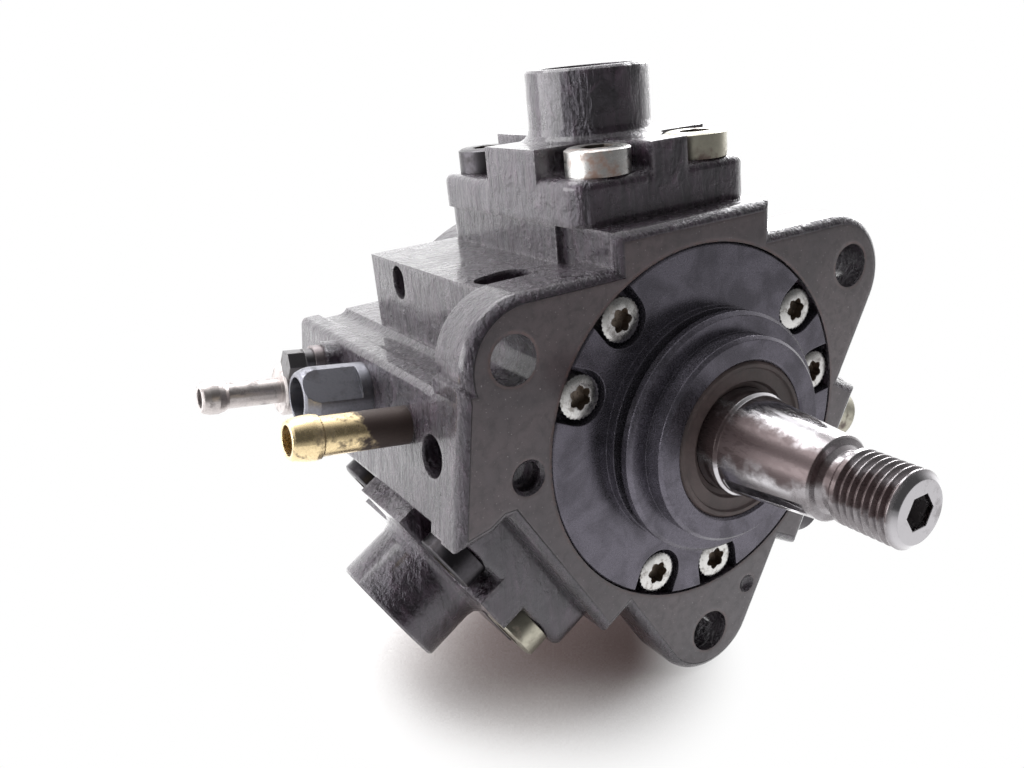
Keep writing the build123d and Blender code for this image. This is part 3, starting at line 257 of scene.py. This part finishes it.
def steel(
    name,
    colour,
    roughness,
    grime=0.3,
    grime_colour=(0.05, 0.038, 0.03),
    scale=0.5,
    edge=0.25,
    root=None,
    fine_depth=0.014,
):
    """Bare or plated steel with grime in patches, and all over beyond root, an axis with two places."""
    f = Finish(name, colour, roughness, 1.0)
    patches = f.noise(scale, 5, 0.62)
    fine = f.noise(scale * 6, 4, 0.6)
    mask = f.remap(patches, 0.50, 0.68, 0.0, grime)
    if root is not None:
        axis, clear, covered = root
        wandering = f.calc("ADD", f.split(f.place())[axis], f.remap(patches, 0.3, 0.7, -2.2, 2.2))
        mask = f.calc("MAXIMUM", mask, f.remap(wandering, clear, covered, 0.0, 0.97))
    tinted = f.mix(f.remap(fine, 0.3, 0.75, 0.0, 0.35), colour, tuple(c * 0.6 for c in colour))
    f.round_edges(edge)
    f.bump(fine, fine_depth, 0.6)
    done = f.mix(mask, tinted, grime_colour)
    clean = f.remap(fine, 0.3, 0.7, roughness - 0.06, roughness + 0.08)
    rough = f.calc("ADD", clean, f.calc("MULTIPLY", mask, 0.25))
    return f.done(done, rough, f.remap(mask, 0.0, 1.0, 1.0, 0.35))


def plain(name, colour, roughness, metallic=0.0, grain=0.02, scale=1.5, clouds=0.0):
    """Moulded or rubbed surface with a slight grain, and paler and darker clouds."""
    f = Finish(name, colour, roughness, metallic)
    fine = f.noise(scale, 4, 0.6)
    f.round_edges(0.25)
    f.bump(fine, grain, 0.6)
    darker, paler = tuple(c * 0.8 for c in colour), tuple(min(1, c * 1.15) for c in colour)
    tone = f.mix(f.remap(fine, 0.3, 0.7), darker, paler)
    if clouds:
        soft = f.remap(f.noise(0.11, 4, 0.6, distort=0.7), 0.40, 0.66, 0.0, clouds)
        tone = f.mix(soft, tone, tuple(c * 0.42 for c in colour))
    return f.done(tone, f.remap(fine, 0.3, 0.7, roughness - 0.05, roughness + 0.07))


# ---------------------------------------------------------------- modelling
def solids_of(node):
    """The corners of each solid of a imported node, as one list of points a solid."""
    mesh = bmesh.new()
    mesh.from_mesh(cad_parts[node].data)
    bmesh.ops.remove_doubles(mesh, verts=mesh.verts, dist=1e-6)
    left = set(mesh.verts)
    found = []
    while left:
        reached = [left.pop()]
        points = []
        while reached:
            corner = reached.pop()
            points.append(corner.co.copy())
            for edge in corner.link_edges:
                other = edge.other_vert(corner)
                if other in left:
                    left.remove(other)
                    reached.append(other)
        found.append(points)
    mesh.free()
    return found


def cylinder(radius, top, depth, sides):
    """Adds a cylinder along Z that hangs down from top, and leaves it in edit mode."""
    bpy.ops.object.select_all(action="DESELECT")
    bpy.ops.mesh.primitive_cylinder_add(
        vertices=sides, radius=radius, depth=depth, location=(0, 0, top - depth / 2)
    )
    made = bpy.context.active_object
    bpy.ops.object.transform_apply(location=True, rotation=False, scale=False)
    bpy.ops.object.mode_set(mode="EDIT")
    return made


def pick(kind, chosen):
    """Selects the faces or corners of the object in edit mode that pass a test."""
    bpy.ops.mesh.select_all(action="DESELECT")
    bpy.ops.mesh.select_mode(type=kind)
    mesh = bmesh.from_edit_mesh(bpy.context.active_object.data)
    for part in mesh.faces if kind == "FACE" else mesh.verts:
        part.select_set(bool(chosen(part)))
    mesh.select_flush_mode()
    bmesh.update_edit_mesh(bpy.context.active_object.data)


def spoke(corner, sides):
    """Number of a corner round the Z axis, from 0 to sides."""
    return round(math.atan2(corner.co.y, corner.co.x) / math.tau * sides) % sides


def cut(body, cutter):
    """Takes the cutter out of the body and deletes it."""
    bpy.ops.object.select_all(action="DESELECT")
    bpy.context.view_layer.objects.active = body
    body.select_set(True)
    taken = body.modifiers.new("socket", "BOOLEAN")
    taken.operation = "DIFFERENCE"
    taken.solver = "EXACT"
    taken.object = cutter
    bpy.ops.object.modifier_apply(modifier=taken.name)
    bpy.data.objects.remove(cutter, do_unlink=True)


def tidy_mesh(body, angle=30.0):
    """Merges doubles, turns faces outwards and smooths all but the sharp edges."""
    bpy.ops.object.select_all(action="DESELECT")
    bpy.context.view_layer.objects.active = body
    body.select_set(True)
    bpy.ops.object.mode_set(mode="EDIT")
    bpy.ops.mesh.select_all(action="SELECT")
    bpy.ops.mesh.remove_doubles(threshold=1e-6)
    bpy.ops.mesh.normals_make_consistent(inside=False)
    bpy.ops.object.mode_set(mode="OBJECT")
    bpy.ops.object.shade_smooth_by_angle(angle=math.radians(angle))


def screw(radius, head, shank, length, teeth, tooth, land, socket):
    """Models a cap screw along Z with its head's top at 0: toothed rim, sunk land, key socket and shank."""
    sides = 2 * teeth
    body = cylinder(radius, 0.0, head, sides)
    pick("VERT", lambda corner: spoke(corner, sides) % 2)
    bpy.ops.transform.resize(value=(1.0 - tooth, 1.0 - tooth, 1.0))
    pick("FACE", lambda face: face.normal.z > 0.9)
    bpy.ops.mesh.inset(thickness=land)
    pick("VERT", lambda corner: corner.co.z > -1e-6 and corner.co.xy.length > radius - land * 0.5)
    bpy.ops.transform.translate(value=(0, 0, -0.55 * land))
    pick("FACE", lambda face: face.normal.z < -0.9)
    bpy.ops.mesh.inset(thickness=radius - shank)
    bpy.ops.mesh.extrude_region_move(TRANSFORM_OT_translate={"value": (0, 0, head - length)})
    bpy.ops.object.mode_set(mode="OBJECT")
    cutter = socket()
    bpy.ops.object.mode_set(mode="OBJECT")
    cut(body, cutter)
    tidy_mesh(body)
    return body


def hexagon_socket(key, depth):
    """Cutter for a hexagon socket."""
    return cylinder(key, SOCKET_OVERSHOOT, depth + SOCKET_OVERSHOOT, 6)


def star_socket(key, depth):
    """Cutter for a six-pointed star socket with round points."""
    sides = 24
    cutter = cylinder(key, SOCKET_OVERSHOOT, depth + SOCKET_OVERSHOOT, sides)
    pick("VERT", lambda corner: spoke(corner, sides) % 4 == 2)
    bpy.ops.transform.resize(value=(0.74, 0.74, 1.0))
    pick("VERT", lambda corner: spoke(corner, sides) % 2)
    bpy.ops.transform.resize(value=(0.90, 0.90, 1.0))
    return cutter


def seat(model, name, matrix, outer, inner, key):
    """Copies a screw to its place; faces inside the key socket take the second finish."""
    copy = model.copy()
    copy.data = model.data.copy()
    copy.name = name
    bpy.context.scene.collection.objects.link(copy)
    copy.data.materials.append(outer)
    copy.data.materials.append(inner)
    for face in copy.data.polygons:
        if -SOCKET_REACH < face.center.z < -SOCKET_LIP and face.center.xy.length < key:
            face.material_index = 1
    copy.matrix_world = matrix
    bpy.ops.object.select_all(action="DESELECT")
    bpy.context.view_layer.objects.active = copy
    copy.select_set(True)
    bpy.ops.object.transform_apply(location=True, rotation=True, scale=True)
    return copy


def frame_at(out, spin, at):
    """Matrix that takes +Z to out, turned about it by spin degrees, with its origin at a point."""
    side = Vector((0, 1, 0)) if abs(out.y) < 0.5 else Vector((1, 0, 0))
    turn = Matrix((side, out.cross(side), out)).transposed().to_4x4()
    return Matrix.Translation(at) @ turn @ Matrix.Rotation(math.radians(spin), 4, "Z")


# ---------------------------------------------------------------- settings
def colour_property(name, description, default):
    return bpy.props.FloatVectorProperty(
        name=name, description=description, default=default, size=3, subtype="COLOR", min=0.0, max=1.0
    )


def length_property(name, description, default):
    return bpy.props.FloatProperty(
        name=name, description=description, default=default, subtype="DISTANCE", unit="LENGTH", precision=5
    )


class PUMP_PG_castings(bpy.types.PropertyGroup):
    """Colours and grain of the castings."""

    iron: colour_property("Iron", "Colour of the blackened cast iron", (0.029, 0.018, 0.026))
    face: colour_property("Mounting face", "Colour of the ground face in front", (0.048, 0.034, 0.034))
    grain: bpy.props.FloatProperty(
        name="Grain", description="Depth of the cast grain", default=1.0, min=0.0, max=3.0, subtype="FACTOR"
    )


class PUMP_PG_metals(bpy.types.PropertyGroup):
    """Colours of the bare and plated metals."""

    phosphate: colour_property("Phosphate", "Colour of the front cover", (0.125, 0.116, 0.142))
    zinc: colour_property("Zinc", "Colour of the galvanised screws", (0.62, 0.61, 0.60))
    ground: colour_property("Ground steel", "Colour of the ground shaft", (0.50, 0.485, 0.505))
    brass: colour_property("Brass", "Colour of the return nozzle", (0.84, 0.67, 0.40))


class PUMP_PG_stage(bpy.types.PropertyGroup):
    """Floor, lamps and camera."""

    floor_colour: colour_property("Floor", "Colour of the floor", (0.92, 0.92, 0.92))
    azimuth: bpy.props.FloatProperty(
        name="Azimuth", description="Camera angle round the pump",
        default=math.radians(-30.202), subtype="ANGLE",
    )
    elevation: bpy.props.FloatProperty(
        name="Elevation", description="Camera angle above the horizon",
        default=math.radians(19.735), subtype="ANGLE",
    )
    roll: bpy.props.FloatProperty(
        name="Roll", description="Camera turn about its own line of sight",
        default=math.radians(-5.502), subtype="ANGLE",
    )
    distance: length_property("Distance", "From the camera to its target", 0.165436)
    target: bpy.props.FloatVectorProperty(
        name="Target", description="Point that the camera looks at",
        default=(-0.041259, 0.0, 0.020074), subtype="XYZ",
    )
    lens: bpy.props.FloatProperty(name="Lens", description="Focal length on a 36 mm sensor", default=32.73)
    shift: bpy.props.FloatProperty(name="Shift", description="Sideways shift of the view", default=-0.0139)


# ---------------------------------------------------------------- operators
class PUMP_OT_castings(bpy.types.Operator):
    """Finish the housing, the three heads and their plugs"""

    bl_idname = "pump.castings"
    bl_label = "Castings"

    def execute(self, context):
        s = context.scene.pump_castings
        iron = tuple(s.iron)
        wear("pump_housing", housing_casting(iron, tuple(s.face), s.grain))
        for place, angle in HEADS.items():
            turn = (0.0, math.radians(angle - 90.0), 0.0)
            f, colour, rough, _, _ = casting(place + " head iron", iron, 0.55 * s.grain, turn)
            wear(place + "_head", f.done(colour, rough))
            wear(place + "_head_plug", steel(place + " plug steel", (0.10, 0.10, 0.105), 0.4))
        return {"FINISHED"}


class PUMP_OT_cover(bpy.types.Operator):
    """Finish the front cover, its ring and the shaft seal"""

    bl_idname = "pump.cover"
    bl_label = "Front cover"

    def execute(self, context):
        s = context.scene.pump_metals
        wear("front_cover", plain("phosphated cover", tuple(s.phosphate), 0.28, 0.75, 0.008, 2.5, 0.65))
        wear("cover_o_ring", plain("o-ring rubber", (0.02, 0.019, 0.018), 0.6))
        wear("shaft_seal", plain("seal rubber", (0.085, 0.060, 0.058), 0.55, 0.0, 0.05, 1.2, 0.6))
        return {"FINISHED"}


class PUMP_OT_shaft(bpy.types.Operator):
    """Finish the drive shaft"""

    bl_idname = "pump.shaft"
    bl_label = "Drive shaft"

    def execute(self, context):
        s = context.scene.pump_metals
        wear("drive_shaft", self.oiled(tuple(s.ground)))
        return {"FINISHED"}


    def oiled(self, ground):
        """Ground steel with a brown band along its upper left side at rest, partly oil and partly a painted
        dark reflection, and oil in its thread.
        """
        f = Finish("oiled ground shaft", ground, 0.15, 1.0)
        patches = f.noise(0.22, 5, 0.62)
        fine = f.noise(1.3, 4, 0.6, (1.0, 0.3, 1.0))
        place = f.split(f.place())
        squares = [f.calc("MULTIPLY", place[axis], place[axis]) for axis in "XZ"]
        radius = f.calc("SQRT", f.calc("ADD", *squares))
        # the upper left side at rest is darkened: partly an oil film, partly a painted dark reflection
        side = f.calc("ADD", f.calc("MULTIPLY", place["X"], -0.86), f.calc("MULTIPLY", place["Z"], 0.50))
        side = f.calc("ADD", f.calc("DIVIDE", side, radius), f.remap(patches, 0.3, 0.7, -0.07, 0.07))
        oil_and_painted_reflection = f.remap(side, 0.72, 0.94, 0.0, 0.96)
        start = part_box("drive_shaft")[0].y / MM
        thread = f.remap(place["Y"], start + 19.0, start + 21.0, 0.62, 0.0)
        end = f.remap(place["Y"], start + 0.5, start + 1.5, 0.0, 1.0)
        uneven = f.calc("MULTIPLY", end, f.remap(patches, 0.3, 0.6, 0.7, 1.0))
        thread = f.calc("MULTIPLY", thread, uneven)
        oil_and_painted_reflection = f.calc("MULTIPLY", oil_and_painted_reflection, end)
        stains = f.remap(patches, 0.52, 0.68, 0.0, 0.35)
        mask = f.calc("MAXIMUM", stains, f.calc("MAXIMUM", oil_and_painted_reflection, thread))
        f.round_edges(0.25)
        f.bump(fine, 0.003, 0.6)
        colour = f.mix(mask, ground, (0.045, 0.026, 0.026))
        rough = f.calc("ADD", f.remap(fine, 0.3, 0.7, 0.09, 0.20), f.calc("MULTIPLY", mask, 0.15))
        return f.done(colour, rough, f.remap(mask, 0.0, 1.0, 1.0, 0.5))


class PUMP_OT_cover_screws(bpy.types.Operator):
    """Model the six star-socket screws of the front cover"""

    bl_idname = "pump.cover_screws"
    bl_label = "Cover screws"

    def execute(self, context):
        s = context.scene.pump_metals
        outer = steel("galvanised steel", tuple(s.zinc), 0.3, 0.55, (0.16, 0.13, 0.11), 0.8)
        # faces inside the socket get a darker, browner finish
        inner = steel("darker socket steel", (0.30, 0.25, 0.21), 0.42, 0.8, (0.09, 0.065, 0.05), 1.2)
        solids = solids_of("cover_screws")
        first = solids[0]
        middle = (min(p.x for p in first) + max(p.x for p in first)) / 2
        radius = max(p.x for p in first) - middle
        length = max(p.y for p in first) - min(p.y for p in first)
        head = self.head_height(first, radius, middle)
        key = 0.56 * radius
        model = screw(
            radius,
            head,
            shank=0.52 * radius,
            length=length,
            teeth=28,
            tooth=0.05,
            land=0.13 * radius,
            socket=lambda: star_socket(key, 0.55 * head),
        )
        for number, points in enumerate(solids):
            x = (min(p.x for p in points) + max(p.x for p in points)) / 2
            z = (min(p.z for p in points) + max(p.z for p in points)) / 2
            top = Vector((x, min(p.y for p in points), z))
            name = "cover_screw_%d" % (number + 1)
            matrix = frame_at(Vector((0, -1, 0)), 37.0 * number, top)
            piece = seat(model, name, matrix, outer, inner, key * 1.02)
            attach(piece, "pump_body")
            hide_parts("cover_screws")
        bpy.data.objects.remove(model, do_unlink=True)
        return {"FINISHED"}

    def head_height(self, points, radius, middle):
        """How deep the wide part of the screw goes."""
        wide = [p.y for p in points if abs(p.x - middle) > 0.9 * radius]
        return max(wide) - min(p.y for p in points)


class PUMP_OT_head_screws(bpy.types.Operator):
    """Model the four hexagon-socket screws of each head"""

    bl_idname = "pump.head_screws"
    bl_label = "Head screws"

    def execute(self, context):
        s = context.scene.pump_metals
        zinc = tuple(s.zinc)
        dulled = tuple(0.72 * c for c in zinc)
        worn = steel("worn screw plating", dulled, 0.30, 0.9, (0.20, 0.115, 0.085), 0.22)
        pale = steel("pale screw plating", (0.42, 0.40, 0.33), 0.34, 0.9, (0.10, 0.065, 0.055), 0.2)
        black = steel("oiled black screw", (0.060, 0.056, 0.062), 0.34, 0.6, (0.02, 0.016, 0.018), 0.4)
        # faces inside the socket get a darker finish
        inner = steel("darker hexagon socket steel", (0.10, 0.085, 0.075), 0.5, 0.8, (0.03, 0.025, 0.02), 0.8)
        # place, side across the head and side along the shaft, as in where below; the others are black
        plating = {
            ("top", -1, -1): worn,
            ("top", 1, -1): pale,
            ("left", -1, -1): pale,
            ("right", -1, -1): pale,
        }
        model = None
        for place, angle in HEADS.items():
            out = Vector((math.cos(math.radians(angle)), 0, math.sin(math.radians(angle))))
            side = Vector((0, 1, 0)).cross(out)
            node = place + "_head_screws"
            box_y = [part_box(node)[0].y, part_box(node)[1].y]
            solids = solids_of(node)
            across = [(min(p.dot(side) for p in q) + max(p.dot(side) for p in q)) / 2 for q in solids]
            for number, points in enumerate(solids):
                y = (min(p.y for p in points) + max(p.y for p in points)) / 2
                top = max(p.dot(out) for p in points)
                radius = (max(p.y for p in points) - min(p.y for p in points)) / 2
                if model is None:
                    length = top - min(p.dot(out) for p in points)
                    head = top - min(p.dot(out) for p in points if abs(p.y - y) > 0.95 * radius)
                    key = 0.53 * radius
                    model = screw(
                        radius,
                        head,
                        shank=0.6 * radius,
                        length=length,
                        teeth=48,
                        tooth=0.004,
                        land=0.12 * radius,
                        socket=lambda: hexagon_socket(key, 0.6 * head),
                    )
                where = (place, 1 if across[number] > 0 else -1, 1 if y > sum(box_y) / 2 else -1)
                at = side * across[number] + out * top + Vector((0, y, 0))
                name = "%s_head_screw_%d" % (place, number + 1)
                matrix = frame_at(out, 23.0 * number + angle, at)
                piece = seat(model, name, matrix, plating.get(where, black), inner, key * 1.02)
                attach(piece, "pump_body")
                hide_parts(node)
        bpy.data.objects.remove(model, do_unlink=True)
        return {"FINISHED"}


class PUMP_OT_wall_fittings(bpy.types.Operator):
    """Finish the fittings of the left wall and the plate bolt"""

    bl_idname = "pump.wall_fittings"
    bl_label = "Wall fittings"

    def execute(self, context):
        s = context.scene.pump_metals
        union = steel("blackened union", (0.24, 0.24, 0.27), 0.42, 0.5, (0.03, 0.026, 0.03), 0.3)
        wear("high_pressure_outlet", union)
        wear("retaining_plate", steel("plate steel", (0.26, 0.23, 0.235), 0.4, 0.5))
        wear("plate_bolt", steel("dark bolt", (0.15, 0.145, 0.15), 0.36, 0.5))
        wear("metering_screws", steel("metering screw steel", tuple(s.zinc), 0.32, 0.3))
        return {"FINISHED"}


class PUMP_OT_nozzles(bpy.types.Operator):
    """Finish the two hose nozzles"""

    bl_idname = "pump.nozzles"
    bl_label = "Nozzles"

    def execute(self, context):
        s = context.scene.pump_metals
        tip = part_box("return_nozzle")[0].x / MM
        black = (0.026, 0.014, 0.018)
        root = ("X", tip + 11.5, tip + 15.5)
        wear("return_nozzle", steel("worn brass", tuple(s.brass), 0.26, 0.7, black, 0.4, root=root))
        dull = steel("dull nozzle steel", (0.52, 0.48, 0.47), 0.40, 0.5, (0.05, 0.04, 0.04), 0.5)
        wear("inlet_nozzle", dull)
        return {"FINISHED"}


class PUMP_OT_metering(bpy.types.Operator):
    """Finish the metering unit"""

    bl_idname = "pump.metering"
    bl_label = "Metering unit"

    def execute(self, context):
        wear("metering_unit", steel("metering can", (0.55, 0.55, 0.56), 0.4, 0.25))
        wear("metering_connector", plain("moulded socket", (0.025, 0.025, 0.028), 0.45, 0.0, 0.02, 6.0))
        return {"FINISHED"}


class PUMP_OT_inner(bpy.types.Operator):
    """Finish the pieces inside the pump"""

    bl_idname = "pump.inner"
    bl_label = "Inner pieces"

    def execute(self, context):
        bronze = steel("bearing bronze", (0.55, 0.36, 0.18), 0.35, 0.1)
        ground = steel("ground inner steel", (0.62, 0.61, 0.60), 0.25, 0.1)
        spring = steel("spring steel", (0.42, 0.41, 0.41), 0.35, 0.1)
        rubber = plain("inner rubber", (0.02, 0.019, 0.018), 0.6)
        for node in ("front_bush", "rear_bush", "ring_bush", "thrust_washer"):
            wear(node, bronze)
        for node in ("polygon_ring", "metering_spool"):
            wear(node, ground)
        wear("metering_spring", spring)
        for place in HEADS:
            wear(place + "_head_o_ring", rubber)
            for piece in ("inlet_valve", "outlet_ball", "outlet_plug", "plunger", "spring_plate"):
                wear(place + "_" + piece, ground)
            for piece in ("inlet_spring", "outlet_spring", "plunger_spring"):
                wear(place + "_" + piece, spring)
        return {"FINISHED"}


class PUMP_OT_stage(bpy.types.Operator):
    """Make the floor, the lamps, the world and the camera"""

    bl_idname = "pump.stage"
    bl_label = "Stage"

    def execute(self, context):
        s = context.scene.pump_stage
        floor_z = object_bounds()[0].z
        bpy.ops.object.select_all(action="DESELECT")
        bpy.ops.mesh.primitive_grid_add(
            x_subdivisions=2, y_subdivisions=2, size=6.0, location=(0, 0, floor_z)
        )
        floor = context.active_object
        floor.name = "studio_floor"
        bpy.ops.object.transform_apply(location=True, rotation=False, scale=False)
        f = Finish("studio floor", tuple(s.floor_colour), 0.9)
        # painted contact shadow: the floor colour turns to a brown shade where the pump is near
        near = f.node("ShaderNodeAmbientOcclusion", samples=8)
        near.inputs["Distance"].default_value = 0.065
        painted_shadow_colour = (0.20, 0.13, 0.12)
        tone = f.mix(f.remap(near.outputs["AO"], 0.15, 0.85), painted_shadow_colour, tuple(s.floor_colour))
        f.feed(f.shader.inputs["Base Color"], tone)
        seen = f.node("ShaderNodeLightPath")
        plainly = f.calc("MAXIMUM", seen.outputs["Is Camera Ray"], seen.outputs["Is Glossy Ray"])
        plainly = f.calc("MAXIMUM", plainly, seen.outputs["Is Transmission Ray"])
        glow = f.node("ShaderNodeEmission")
        glow.inputs["Color"].default_value = (1.0, 0.97, 0.96, 1.0)
        # the floor's glow is lowered near the pump, which deepens the painted shadow
        glow_outside_painted_shadow = f.remap(near.outputs["AO"], 0.35, 0.95, 0.0, 0.45)
        f.feed(glow.inputs["Strength"], f.calc("MULTIPLY", plainly, glow_outside_painted_shadow))
        both = f.node("ShaderNodeAddShader")
        f.feed(both.inputs[0], f.shader.outputs[0])
        f.feed(both.inputs[1], glow.outputs[0])
        # painted shadow area: inside an ellipse round this centre the floor keeps its shade, outside it
        # turns plain white
        away = f.node("ShaderNodeVectorMath", operation="LENGTH")
        painted_shadow_centre = f.node("ShaderNodeMapping")
        half_x, half_y, centre_x, centre_y = 0.030, 0.037, -0.028, 0.040
        painted_shadow_centre.inputs["Location"].default_value = (-centre_x / half_x, -centre_y / half_y, 0.0)
        painted_shadow_centre.inputs["Scale"].default_value = (1.0 / half_x, 1.0 / half_y, 0.0)
        f.feed(painted_shadow_centre.inputs["Vector"], f.coords)
        f.feed(away.inputs[0], painted_shadow_centre.outputs[0])
        outside_painted_shadow = f.calc("MULTIPLY", f.remap(away.outputs["Value"], 0.85, 1.7), plainly)
        white = f.node("ShaderNodeEmission")
        # painted reflection: to glossy rays the floor glows darker in front and brighter than white behind
        painted_reflection_strength = f.remap(f.split(f.coords)["Y"], -0.45, 0.20, 0.42, 1.7)
        f.feed(white.inputs["Strength"], f.mix_value(seen.outputs["Is Glossy Ray"], 1.0, painted_reflection_strength))
        faded = f.node("ShaderNodeMixShader")
        f.feed(faded.inputs[0], outside_painted_shadow)
        f.feed(faded.inputs[1], both.outputs[0])
        f.feed(faded.inputs[2], white.outputs[0])
        f.feed(f.tree.nodes["Material Output"].inputs["Surface"], faded.outputs[0])
        floor.data.materials.append(f.material)
        floor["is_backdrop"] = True
        self.light(context)
        self.aim(context, s)
        return {"FINISHED"}

    def light(self, context):
        world = bpy.data.worlds.new("studio")
        context.scene.world = world
        world.use_nodes = True
        tree = world.node_tree
        back = tree.nodes["Background"]
        back.inputs["Color"].default_value = (1.0, 1.0, 1.0, 1.0)
        path = tree.nodes.new("ShaderNodeLightPath")
        coords = tree.nodes.new("ShaderNodeTexCoord")
        parts = tree.nodes.new("ShaderNodeSeparateXYZ")
        tree.links.new(coords.outputs["Generated"], parts.inputs[0])
        behind = tree.nodes.new("ShaderNodeMapRange")
        behind.interpolation_type = "SMOOTHSTEP"
        tree.links.new(parts.outputs["Y"], behind.inputs["Value"])
        for name, number in (("From Min", -0.6), ("From Max", 0.4), ("To Min", 0.10), ("To Max", 1.9)):
            behind.inputs[name].default_value = number
        strength = behind.outputs["Result"]
        for ray, level in (("Is Diffuse Ray", 0.42), ("Is Camera Ray", 1.0)):
            made = tree.nodes.new("ShaderNodeMix")
            made.data_type = "FLOAT"
            tree.links.new(path.outputs[ray], made.inputs["Factor"])
            tree.links.new(strength, made.inputs[2])
            made.inputs[3].default_value = level
            strength = made.outputs[0]
        tree.links.new(strength, back.inputs["Strength"])
        lamps = (
            ("left softbox", (-0.85, 0.35, 0.15), 0.9, 0.45, 8.0),
            ("right softbox", (0.75, 0.50, 0.35), 0.5, 0.5, 10.0),
            ("top softbox", (-0.10, 0.45, 0.85), 0.9, 0.5, 8.0),
        )
        for name, at, width, height, power in lamps:
            data = bpy.data.lights.new(name, "AREA")
            data.shape = "RECTANGLE"
            data.size, data.size_y = width, height
            data.energy = power
            lamp = bpy.data.objects.new(name, data)
            lamp.location = at
            lamp.rotation_euler = (-Vector(at)).to_track_quat("-Z", "Y").to_euler()
            context.scene.collection.objects.link(lamp)

    def aim(self, context, s):
        back = Vector(
            (
                math.sin(s.azimuth) * math.cos(s.elevation),
                -math.cos(s.azimuth) * math.cos(s.elevation),
                math.sin(s.elevation),
            )
        )
        right = (-back).cross(Vector((0, 0, 1))).normalized()
        up = right.cross(-back)
        across = math.cos(s.roll) * right + math.sin(s.roll) * up
        upright = -math.sin(s.roll) * right + math.cos(s.roll) * up
        data = bpy.data.cameras.new("camera")
        data.sensor_width = 36.0
        data.lens = s.lens
        data.shift_x = s.shift
        data.clip_start, data.clip_end = 0.01, 20.0
        camera = bpy.data.objects.new("camera", data)
        turn = Matrix((across, upright, back)).transposed()
        camera.matrix_world = Matrix.Translation(Vector(s.target) + back * s.distance) @ turn.to_4x4()
        context.scene.collection.objects.link(camera)
        context.scene.camera = camera
        view = context.scene.view_settings
        view.view_transform = "Standard"


class PUMP_PT_sidebar(bpy.types.Panel):
    """Lists the pump's operators"""

    bl_idname = "PUMP_PT_sidebar"
    bl_label = "Injection pump"
    bl_space_type = "VIEW_3D"
    bl_region_type = "UI"
    bl_category = "Pump"

    def draw(self, context):
        for operator in OPERATORS:
            self.layout.operator(operator.bl_idname)


SETTINGS = {
    "pump_castings": PUMP_PG_castings,
    "pump_metals": PUMP_PG_metals,
    "pump_stage": PUMP_PG_stage,
}
OPERATORS = (
    PUMP_OT_castings,
    PUMP_OT_cover,
    PUMP_OT_cover_screws,
    PUMP_OT_head_screws,
    PUMP_OT_shaft,
    PUMP_OT_wall_fittings,
    PUMP_OT_nozzles,
    PUMP_OT_metering,
    PUMP_OT_inner,
    PUMP_OT_stage,
)


def register():
    for group in (*SETTINGS.values(), *OPERATORS, PUMP_PT_sidebar):
        bpy.utils.register_class(group)
    for name, group in SETTINGS.items():
        setattr(bpy.types.Scene, name, bpy.props.PointerProperty(type=group))


def unregister():
    for name in SETTINGS:
        delattr(bpy.types.Scene, name)
    for group in (PUMP_PT_sidebar, *reversed(OPERATORS), *reversed(SETTINGS.values())):
        bpy.utils.unregister_class(group)


def main():
    register()
    for operator in OPERATORS:
        group, name = operator.bl_idname.split(".")
        getattr(getattr(bpy.ops, group), name)()


if __name__ == "__main__":
    main()
